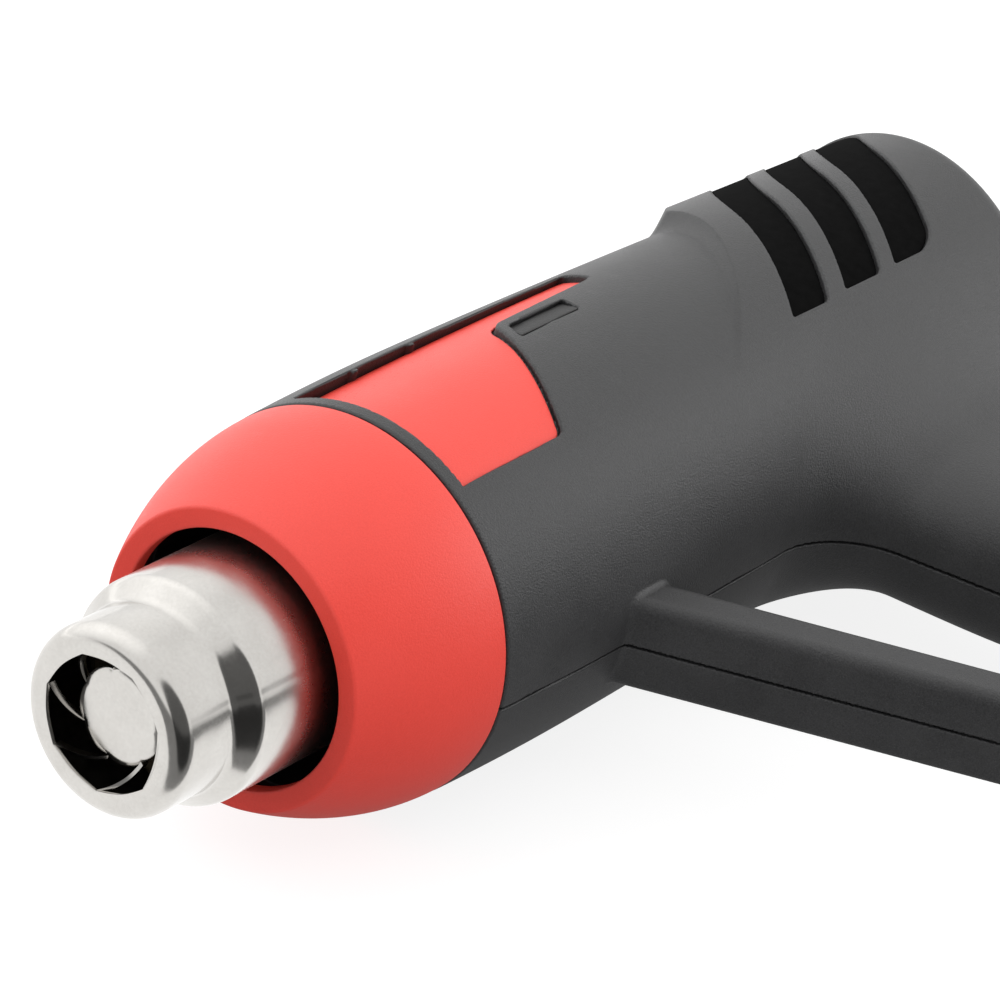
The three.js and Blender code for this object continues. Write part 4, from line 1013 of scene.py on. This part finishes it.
def plain_metal(name, dark, light, rough):
    """Rolled or turned metal with scratches and dull patches."""
    finish = new_finish(name)
    patch = finish.noise(PATCH_LUMPS, detail=4.0, rough=0.6)
    line = finish.noise(SCRATCH_LUMPS, rough=0.6, stretch=SCRATCH_STRETCH)
    finish.feed(finish.shader, {
        "Base Color": finish.mix(finish.span(patch, *TONE_SPAN), dark, light),
        "Metallic": 1.0,
        "Roughness": rough + (patch - 0.5) * 0.2,
        "Normal": finish.bump(line, 0.2, SCRATCH_DEPTH),
    })
    return finish.owner


def mottled(name, dark, light, rough, size, shine=0.5):
    """Sheet, ceramic or board stock with mottled colour."""
    finish = new_finish(name)
    patch = finish.noise(size, detail=4.0, rough=0.65)
    finish.feed(finish.shader, {
        "Base Color": finish.mix(finish.span(patch, *TONE_SPAN), dark, light),
        "Roughness": rough + (patch - 0.5) * 0.15,
        "Specular IOR Level": shine,
        "Normal": finish.bump(patch, 0.2, size * MOTTLE_DEPTH),
    })
    return finish.owner


# Finishes of the pieces inside and of the small dark ones: dark and light tone and roughness,
# and for sheet stock its lump size and shine
METALS = {
    # Painted shade: dark steel for the nozzle's inside faces, standing in for the shadow inside the tube.
    "painted_inner_shade": ((0.05, 0.045, 0.04, 1), (0.11, 0.10, 0.09, 1), 0.5),
    "heater_wire": ((0.16, 0.14, 0.13, 1), (0.34, 0.30, 0.28, 1), 0.45),
    "motor_steel": ((0.36, 0.36, 0.37, 1), (0.55, 0.55, 0.56, 1), 0.35),
    "bronze": ((0.42, 0.25, 0.10, 1), (0.58, 0.38, 0.18, 1), 0.4),
    "screw_steel": ((0.05, 0.05, 0.05, 1), (0.10, 0.10, 0.10, 1), 0.35),
}
STOCKS = {
    # Partly painted shade: the near-black, barely shiny filling of the vent slots stands in for the shadow inside
    # them as well as the black screen.
    "vent_painted_shade": ((0.0025, 0.0025, 0.0025, 1), (0.006, 0.006, 0.006, 1), 0.95, 0.002, 0.05),
    "mica": ((0.30, 0.25, 0.17, 1), (0.46, 0.40, 0.30, 1), 0.4, 0.004),
    "board_green": ((0.012, 0.07, 0.025, 1), (0.02, 0.11, 0.04, 1), 0.4, 0.002),
}


def make_finishes(colours):
    """A material for each of the record's slots and for the looks that only the new pieces have."""
    made = {
        "housing_grey": moulded("housing_grey", colours.housing_dark, colours.housing_light, rough=0.45,
                                grain=0.00028, relief=0.75, shine=0.58),
        "trim_red": moulded("trim_red", colours.red_dark, colours.red_light, rough=0.45,
                            grain=0.00028, relief=0.45),
        "trim_black": moulded("trim_black", colours.black_dark, colours.black_light, rough=0.55,
                              grain=0.0005, relief=0.3),
        "badge_grey": moulded("badge_grey", colours.badge_dark, colours.badge_light, rough=0.6,
                              grain=0.0005, relief=0.4),
        "nozzle_steel": drawn_steel("nozzle_steel", colours.steel_dull, colours.steel_bright, rough=0.17),
    }
    made.update((name, plain_metal(name, *values)) for name, values in METALS.items())
    made.update((name, mottled(name, *values)) for name, values in STOCKS.items())
    return made


# Settings of the add-on
def length(name, description, default):
    """A length in metres that a user can set."""
    return bpy.props.FloatProperty(
        name=name, description=description, default=default, min=0.0001, max=0.1, precision=5,
        unit="LENGTH")


def colour(name, description, default):
    """A colour that a user can set."""
    return bpy.props.FloatVectorProperty(
        name=name, description=description, default=default, size=4, min=0, max=1, subtype="COLOR")


class HotAirSizes(bpy.types.PropertyGroup):
    collar_mouth: length("Collar Mouth", "Radius of the opening in the heat guard", 0.0236)
    collar_wall: length("Collar Wall", "Wall of the heat guard", 0.0024)
    nozzle_mouth: length("Nozzle Mouth", "Radius of the opening in the nozzle's face", 0.0122)
    nozzle_wall: length("Nozzle Wall", "Sheet thickness of the nozzle", 0.0008)
    swirl_disc: length("Swirl Disc", "Radius of the disc in the nozzle's mouth", 0.0087)
    swirl_sheet: length("Swirl Sheet", "Sheet thickness of the swirl plate's strips", 0.0007)
    swirl_depth: length("Swirl Depth", "Depth of the swirl plate's strips", 0.0015)
    inlet_bore: length("Inlet Bore", "Radius of the cord inlet's bore", 0.0043)


class HotAirColours(bpy.types.PropertyGroup):
    housing_dark: colour("Housing Dark", "Casing plastic in the grain's hollows", (0.008, 0.008, 0.0085, 1))
    housing_light: colour("Housing Light", "Casing plastic on the grain's crests", (0.034, 0.034, 0.035, 1))
    red_dark: colour("Red Dark", "Collar and inlays in the grain's hollows", (0.83, 0.059, 0.041, 1))
    red_light: colour("Red Light", "Collar and inlays on the grain's crests", (0.90, 0.072, 0.052, 1))
    black_dark: colour("Black Dark", "Nose ring, slide and inlet in the hollows", (0.006, 0.006, 0.006, 1))
    black_light: colour("Black Light", "Nose ring, slide and inlet on the crests", (0.012, 0.012, 0.012, 1))
    badge_dark: colour("Badge Dark", "Badge plates in the grain's hollows", (0.008, 0.008, 0.008, 1))
    badge_light: colour("Badge Light", "Badge plates on the grain's crests", (0.02, 0.02, 0.02, 1))
    steel_dull: colour("Steel Dull", "Nozzle where it is smudged", (0.505, 0.488, 0.462, 1))
    steel_bright: colour("Steel Bright", "Nozzle where it is clean", (0.605, 0.588, 0.562, 1))


class HotAirDetail(bpy.types.PropertyGroup):
    shell_step: bpy.props.FloatProperty(
        name="Shell Step", description="Grid step of the casing mesh in millimetres",
        default=0.55, min=0.3, max=2)
    shell_keep: bpy.props.FloatProperty(
        name="Shell Share", description="Share of the casing's faces that stay",
        default=0.3, min=0.05, max=1, subtype="FACTOR")
    trim_step: bpy.props.FloatProperty(
        name="Trim Step", description="Grid step of the small trim in millimetres",
        default=0.35, min=0.2, max=1)
    turns: bpy.props.IntProperty(
        name="Turned Segments", description="Segments round the turned pieces",
        default=240, min=48, max=360)


class HotAirStage(bpy.types.PropertyGroup):
    ambient: bpy.props.FloatProperty(
        name="Ambient", description="Strength of the surround light overhead", default=1.15, min=0, max=4)
    glow: bpy.props.FloatProperty(
        name="Glow", description="Strength of the light that comes back from the table",
        default=0.28, min=0, max=4)
    table: bpy.props.FloatProperty(
        name="Table", description="Light that the white table gives off", default=0.85, min=0, max=2)
    lens: bpy.props.FloatProperty(
        name="Lens", description="Focal length of the camera", default=180, min=20, max=400, unit="CAMERA")


# Tools of the add-on
class Build(bpy.types.Operator):
    """Base of the build tools"""
    bl_options = {"REGISTER", "UNDO"}

    @property
    def detail(self):
        return bpy.context.scene.hot_air_detail

    @property
    def sizes(self):
        """The sizes that a user sets, in millimetres."""
        group = bpy.context.scene.hot_air_sizes
        return SimpleNamespace(**{name: getattr(group, name) / MM for name in HotAirSizes.__annotations__})

    def finish(self, look):
        return bpy.data.materials[LOOK + look]

    def both_sides(self, piece, node, maker, box, look, slot, step, keep):
        """The shape that the maker gives for each side, meshed in its box or the mirrored one."""
        low, high = box
        for name, side in SIDES.items():
            shape = maker(side)
            near, far = sorted((low[2] * side, high[2] * side))
            points, faces = net(shape, (*low[:2], near), (*high[:2], far), step)
            add_piece(f"{name}_{piece}", points, faces, self.finish(look), "housing", f"{name}_{node}",
                      shape, keep)


class HOTAIR_OT_finishes(Build):
    """Make the materials and give the CAD pieces that stay theirs"""
    bl_idname = "hotair.finishes"
    bl_label = "Finishes"

    def execute(self, context):
        made = make_finishes(context.scene.hot_air_colours)
        for subpart in frame["record"]["subparts"]:
            node = frame["nodes"].get(subpart["node"])
            if node:
                node.data.materials.clear()
                node.data.materials.append(made[subpart["material_slot"]])
        return {"FINISHED"}


class HOTAIR_OT_casing(Build):
    """Build both halves of the casing"""
    bl_idname = "hotair.casing"
    bl_label = "Casing"

    def execute(self, context):
        step = self.detail.shell_step * 1
        self.both_sides("casing", "housing", casing_shape, CASING_BOX, "housing_grey", "housing_grey",
                        step, self.detail.shell_keep)
        return {"FINISHED"}


class HOTAIR_OT_inlays(Build):
    """Build the red inlays in the barrel's sides"""
    bl_idname = "hotair.inlays"
    bl_label = "Inlays"

    def execute(self, context):
        self.both_sides("inlay_plate", "inlay", inlay_shape, INLAY_BOX, "trim_red", "trim_red",
                        self.detail.trim_step, TRIM_KEEP)
        return {"FINISHED"}


class HOTAIR_OT_badges(Build):
    """Build the bare badge plates behind the inlays"""
    bl_idname = "hotair.badges"
    bl_label = "Badges"

    def execute(self, context):
        self.both_sides("badge_plate", "badge", badge_shape, BADGE_BOX, "badge_grey", "housing_grey",
                        self.detail.trim_step, TRIM_KEEP)
        return {"FINISHED"}


class HOTAIR_OT_screens(Build):
    """Build the vent screens with the black filling of the slots, which is partly painted shade"""
    bl_idname = "hotair.screens"
    bl_label = "Vent Screens"

    def execute(self, context):
        self.both_sides("vent_screen_plate", "vent_screen", screen_shape, SCREEN_BOX, "vent_painted_shade",
                        "trim_black", self.detail.trim_step, TRIM_KEEP)
        return {"FINISHED"}


class HOTAIR_OT_collar(Build):
    """Build the heat guard"""
    bl_idname = "hotair.collar"
    bl_label = "Collar"

    def execute(self, context):
        points, faces = turned(eased(self.outline())[::-1], self.detail.turns)
        add_piece("collar_shell", points, faces, self.finish("trim_red"), "collar", "front_collar")
        return {"FINISHED"}

    def outline(self):
        """Corners of the domed ring: its face, the dome, the seat on the nose ring and back inside."""
        mouth, wall = self.sizes.collar_mouth, self.sizes.collar_wall
        swell = COLLAR_REAR_R - COLLAR_FACE_R
        dome = [(COLLAR_X + (SEAM_X - COLLAR_X) * t, COLLAR_FACE_R + swell * (1 - (1 - t) ** COLLAR_FULL))
                for t in np.linspace(0, 1, COLLAR_STEPS)[1:]]
        corners = [(COLLAR_X, mouth, COLLAR_LIP_ROUND), (COLLAR_X, COLLAR_FACE_R, COLLAR_FACE_ROUND)]
        corners += [(x, r, 0) for x, r in dome[1:-1]]
        corners += [(SEAM_X, COLLAR_REAR_R, COLLAR_REAR_ROUND),
                    (SEAM_X, COLLAR_REAR_R - COLLAR_REAR_WALL, 0),
                    (SEAM_X - COLLAR_SEAT, NOSE_R + COLLAR_SEAT_GAP, 0)]
        corners += [(x, r - wall, 0) for x, r in dome[::-1]
                    if SEAM_X - COLLAR_INNER_TO > x > COLLAR_X + COLLAR_INNER_FROM
                    and r - wall < NOSE_R + COLLAR_INNER_ROOM]
        return corners + [(COLLAR_X + COLLAR_LIP, mouth, 0)]


class HOTAIR_OT_nose(Build):
    """Build the ring that carries the collar"""
    bl_idname = "hotair.nose"
    bl_label = "Nose Ring"

    def execute(self, context):
        front, inner = SEAM_X - NOSE_LENGTH, NOSE_R - NOSE_WALL
        ring = eased(((front, inner, NOSE_ROUND), (SEAM_X, inner, 0),
                      (SEAM_X, NOSE_R, 0), (front, NOSE_R, NOSE_ROUND)))
        points, faces = turned(ring, self.detail.turns)
        add_piece("nose_sleeve", points, faces, self.finish("trim_black"), "housing", "nose_ring")
        return {"FINISHED"}


class HOTAIR_OT_nozzle(Build):
    """Build the stepped steel nozzle with its notched mouth and its seam"""
    bl_idname = "hotair.nozzle"
    bl_label = "Nozzle"

    def execute(self, context):
        outline = self.outline()
        points, faces = turned(outline[::-1], self.detail.turns)
        reach = np.hypot(points[:, 1], points[:, 2])
        points[:, 1:] *= (1 + self.relief(points, reach) / reach)[:, None]
        shell = add_piece("nozzle_shell", points, faces, self.finish("nozzle_steel"), "housing",
                          "nozzle_tube")
        # The inside faces take the dark steel as painted shade for the shadow inside the tube.
        shell.data.materials.append(self.finish("painted_inner_shade"))
        inside = np.arange(len(faces)) % len(outline) < len(outline) // 2
        shell.data.polygons.foreach_set("material_index", inside.astype(np.int32))
        return {"FINISHED"}

    def outline(self):
        """The tube's wall from its rolled face over the step to the rear and back inside."""
        mouth, wall = self.sizes.nozzle_mouth, self.sizes.nozzle_wall
        face = NOZZLE_X + wall
        front_in, rear_in = NOZZLE_FRONT_R - wall, NOZZLE_REAR_R - wall
        step_x = NOZZLE_STEP_X + NOZZLE_STEP
        return eased((
            (NOZZLE_X, mouth, NOZZLE_LIP_ROUND), (NOZZLE_X, NOZZLE_FRONT_R, NOZZLE_ROUND),
            (NOZZLE_STEP_X, NOZZLE_FRONT_R, NOZZLE_STEP_ROUND),
            (step_x - NOZZLE_STEP_LEAD, NOZZLE_REAR_R, NOZZLE_STEP_ROUND),
            (NOZZLE_END_X, NOZZLE_REAR_R, NOZZLE_END_ROUND), (NOZZLE_END_X, rear_in, NOZZLE_END_ROUND),
            (step_x, rear_in, NOZZLE_INNER_ROUND),
            (step_x - NOZZLE_INNER_LEAD, front_in, NOZZLE_INNER_ROUND),
            (face, front_in, NOZZLE_MOUTH_ROUND), (face, mouth, NOZZLE_LIP_ROUND)), NOZZLE_ARC_STEPS)

    def relief(self, points, reach):
        """How far each point moves out: the notches of the mouth and the tube's fine seam."""
        angle = np.arctan2(points[:, 2], points[:, 1])
        tooth = ((angle - SWIRL_START) * SWIRL_ARMS / (2 * np.pi)) % 1
        notch = SWIRL_NOTCH * (np.abs(2 * tooth - 1) ** SWIRL_NOTCH_POWER - SWIRL_NOTCH_LEVEL)
        lip = (reach < self.sizes.nozzle_mouth + NOZZLE_LIP) & (points[:, 0] < SWIRL_X)
        aside = (angle - SEAM_ANGLE) * reach / SEAM_WIDTH
        seam = SEAM_DEPTH * np.exp(-aside**2)
        return np.where(lip, notch, 0) - np.where(points[:, 0] > SWIRL_X, seam, 0)


class HOTAIR_OT_swirl(Build):
    """Build the disc that twisted strips hold in the nozzle's mouth"""
    bl_idname = "hotair.swirl"
    bl_label = "Swirl Plate"

    def execute(self, context):
        self.points, self.faces = [], []
        self.add_strip(self.disc(self.sizes.swirl_disc))
        for arm in range(SWIRL_ARMS):
            self.add_strip(self.arm(SWIRL_START + 2 * math.pi * arm / SWIRL_ARMS))
        add_piece("swirl_vanes", self.points, self.faces, self.finish("nozzle_steel"), "housing",
                  "swirl_plate")
        return {"FINISHED"}

    def add_strip(self, grid):
        """A closed tube through the rows of points, with both ends capped."""
        base = len(self.points)
        rows, columns = len(grid), len(grid[0])
        self.points.extend(point for row in grid for point in row)
        for i in range(rows - 1):
            for j in range(columns):
                a, b = base + i * columns + j, base + i * columns + (j + 1) % columns
                self.faces.append((a, b, b + columns, a + columns))
        self.faces.append(tuple(base + j for j in range(columns))[::-1])
        self.faces.append(tuple(base + (rows - 1) * columns + j for j in range(columns)))

    def disc(self, rim):
        """Rings of the disc, whose edge is scalloped between the strips."""
        angles = np.linspace(0, 2 * np.pi, SWIRL_SEGMENTS + 1)[:-1]
        wave = np.abs(np.sin((angles - SWIRL_START - SWIRL_TURN) * SWIRL_ARMS / 2))
        scallop = wave**SWIRL_SCALLOP_POWER - SWIRL_SCALLOP_LEVEL
        rings = []
        for behind, radius, inset in SWIRL_RINGS:
            r = rim - inset if radius is None else radius
            edge = SWIRL_SCALLOP * max(0, r - SWIRL_SCALLOP_FROM) / (rim - SWIRL_SCALLOP_FROM)
            rings.append([(SWIRL_X + behind, wavy * math.cos(a), wavy * math.sin(a))
                          for a, wavy in zip(angles, r + edge * scallop)])
        return rings

    def arm(self, start):
        """Rows of one strip, from the nozzle's lip inwards and back to the disc."""
        sizes = self.sizes
        out, deep = sizes.swirl_sheet / 2, sizes.swirl_depth
        rows = []
        for share in np.linspace(0, 1, SWIRL_ARM_ROWS):
            angle = start + SWIRL_TURN * share
            inward = sizes.swirl_disc - SWIRL_ARM_OVERLAP - sizes.nozzle_mouth
            radius = sizes.nozzle_mouth + SWIRL_ARM_ROOT + inward * share
            front = NOZZLE_X + SWIRL_ARM_SINK + (SWIRL_X - NOZZLE_X - SWIRL_ARM_LEVEL) * share
            rows.append([(front + dx, (radius + dr) * math.cos(angle), (radius + dr) * math.sin(angle))
                         for dx, dr in ((0, out), (0, -out), (deep, -out), (deep, out))])
        return rows


class HOTAIR_OT_slide(Build):
    """Build the thumb slide on the handle's back"""
    bl_idname = "hotair.slide"
    bl_label = "Thumb Slide"

    def execute(self, context):
        points, faces = net(slider_shape, *SLIDE_BOX, self.detail.trim_step)
        add_piece("thumb_slide", points, faces, self.finish("trim_black"), "switch", "switch_slider",
                  slider_shape, SLIDE_KEEP)
        return {"FINISHED"}


class HOTAIR_OT_inlet(Build):
    """Build the cord inlet's ring in the handle's foot"""
    bl_idname = "hotair.inlet"
    bl_label = "Cord Inlet"

    def execute(self, context):
        bore = self.sizes.inlet_bore
        seat = BASE_Y - SEAT_GAP
        low = seat - GLAND_FLANGE
        top = low + GLAND_LENGTH
        outline = eased((
            (low, bore, GLAND_MOUTH_ROUND), (low, GLAND_FLANGE_R, GLAND_RIM_ROUND),
            (seat, GLAND_FLANGE_R, GLAND_SEAT_ROUND), (seat, GLAND_R, GLAND_SEAT_ROUND),
            (top, GLAND_R, GLAND_END_ROUND), (top, bore, GLAND_END_ROUND)))
        points, faces = turned(outline, GLAND_SEGMENTS)
        points = points[:, (1, 0, 2)] + (gland_x(), 0, 0)
        add_piece("cord_inlet_ring", points, faces, self.finish("trim_black"), "housing", "cord_gland")
        return {"FINISHED"}


class HOTAIR_OT_screws(Build):
    """Build the screws of the casing in their wells"""
    bl_idname = "hotair.screws"
    bl_label = "Screws"

    def execute(self, context):
        points, faces = net(screw_shape, *SCREW_BOX, SCREW_STEP)
        for number, (x, y, seat) in enumerate(SCREWS, 1):
            placed = points.copy()
            placed[:, 2] *= np.where(points[:, 2] > 0, (SCREW_REACH + seat) / SCREW_SHANK, 1)
            placed += (x, y, -seat - SEAT_GAP)
            add_piece(f"casing_screw_{number}", placed, faces, self.finish("screw_steel"), "housing",
                      f"housing_screw_{number}")
        return {"FINISHED"}


class HOTAIR_OT_stage(Build):
    """Lay the floor and set the lights and the camera"""
    bl_idname = "hotair.stage"
    bl_label = "Stage"

    def execute(self, context):
        stage = context.scene.hot_air_stage
        self.floor(context, stage)
        self.surround(context, stage)
        self.lamps(context)
        self.camera(context, stage)
        context.scene.view_settings.view_transform = "Standard"
        return {"FINISHED"}

    def floor(self, context, stage):
        mesh = bpy.data.meshes.new("floor")
        corners = ((-1, -1), (1, -1), (1, 1), (-1, 1))
        mesh.from_pydata([(FLOOR_HALF * x, FLOOR_HALF * y, 0) for x, y in corners], [], [(0, 1, 2, 3)])
        floor = bpy.data.objects.new("floor", mesh)
        context.scene.collection.objects.link(floor)
        pale = new_finish("floor")
        pale.feed(pale.shader, {"Base Color": FLOOR_SHADE, "Roughness": 1.0, "Specular IOR Level": 0.0,
                                "Emission Color": WHITE, "Emission Strength": stage.table})
        mesh.materials.append(pale.owner)
        floor.visible_diffuse = False
        floor.visible_glossy = False
        floor.visible_shadow = False

    def surround(self, context, stage):
        """A pale sky with one brighter and one dark side, over a dimmer table."""
        world = bpy.data.worlds.new("surround")
        context.scene.world = world
        sky = Finish(world, "Background")
        look = sky.node("ShaderNodeTexCoord", {}, {}, "Generated")
        turn = TOOL.to_3x3()
        above = sky.toward(look, Vector((0, 0, 1)))
        aside = sky.toward(look, turn @ Vector(DARK_SIDE).normalized())
        bright = sky.toward(look, turn @ Vector(SKY_SIDE).normalized())
        gain = sky.span(bright, *(math.cos(spread) for spread in SKY_SPREAD[::-1]), 1, SKY_GAIN)
        level = stage.glow + sky.span(above, *HORIZON) * (gain * stage.ambient - stage.glow)
        shade = sky.span(aside, *(math.cos(spread) for spread in DARK_SPREAD[::-1]), 1, DARK_SHARE)
        sky.feed(sky.shader, {"Color": level * shade})

    def lamps(self, context):
        turn = TOOL.to_3x3()
        for name, (place, facing, roll, size, power, matt, glossy, pieces) in LAMPS.items():
            lamp = bpy.data.lights.new(name, "AREA")
            lamp.size = size
            lamp.energy = power
            light = bpy.data.objects.new(name, lamp)
            rolled = Matrix.Rotation(math.radians(roll), 3, "Z")
            aim = Vector(facing).to_track_quat("-Z", "Y").to_matrix() @ rolled
            light.matrix_world = Matrix.Translation(turn @ Vector(place)) @ (turn @ aim).to_4x4()
            light.visible_diffuse = matt
            light.visible_glossy = glossy
            context.scene.collection.objects.link(light)
            lit = bpy.data.collections.new(name)
            for piece in pieces:
                lit.objects.link(bpy.data.objects[piece])
            light.light_linking.receiver_collection = lit

    def camera(self, context, stage):
        data = bpy.data.cameras.new("camera")
        data.lens = stage.lens
        data.sensor_width = CAMERA_SENSOR
        data.clip_end = CAMERA_REACH
        camera = bpy.data.objects.new("camera", data)
        right, up = Vector(CAMERA_RIGHT), Vector(CAMERA_UP)
        turn = Matrix((right, up, right.cross(up))).transposed().to_4x4()
        camera.matrix_world = TOOL @ Matrix.Translation(Vector(CAMERA_PLACE) * MM) @ turn
        context.scene.collection.objects.link(camera)
        context.scene.camera = camera


class HOTAIR_PT_panel(bpy.types.Panel):
    """Build settings and tools"""
    bl_label = "Hot Air Tool"
    bl_idname = "HOTAIR_PT_panel"
    bl_space_type = "VIEW_3D"
    bl_region_type = "UI"
    bl_category = "Hot Air Tool"

    def draw(self, context):
        for name, kind in GROUPS.items():
            box = self.layout.box()
            for setting in kind.__annotations__:
                box.prop(getattr(context.scene, name), setting)
        for tool in TOOLS:
            self.layout.operator(tool.bl_idname)


GROUPS = {"hot_air_sizes": HotAirSizes, "hot_air_colours": HotAirColours,
          "hot_air_detail": HotAirDetail, "hot_air_stage": HotAirStage}
TOOLS = (HOTAIR_OT_finishes, HOTAIR_OT_casing, HOTAIR_OT_inlays, HOTAIR_OT_badges, HOTAIR_OT_screens,
         HOTAIR_OT_collar, HOTAIR_OT_nose, HOTAIR_OT_nozzle, HOTAIR_OT_swirl, HOTAIR_OT_slide,
         HOTAIR_OT_inlet, HOTAIR_OT_screws, HOTAIR_OT_stage)
CLASSES = (*GROUPS.values(), *TOOLS, HOTAIR_PT_panel)


def register():
    for item in CLASSES:
        bpy.utils.register_class(item)
    for name, kind in GROUPS.items():
        setattr(bpy.types.Scene, name, bpy.props.PointerProperty(type=kind))


def unregister():
    for name in GROUPS:
        delattr(bpy.types.Scene, name)
    for item in reversed(CLASSES):
        bpy.utils.unregister_class(item)


def main():
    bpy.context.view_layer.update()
    register()
    bpy.ops.hotair.finishes()
    bpy.ops.hotair.casing()
    bpy.ops.hotair.inlays()
    bpy.ops.hotair.badges()
    bpy.ops.hotair.screens()
    bpy.ops.hotair.collar()
    bpy.ops.hotair.nose()
    bpy.ops.hotair.nozzle()
    bpy.ops.hotair.swirl()
    bpy.ops.hotair.slide()
    bpy.ops.hotair.inlet()
    bpy.ops.hotair.screws()
    bpy.ops.hotair.stage()


if __name__ == "__main__":
    main()
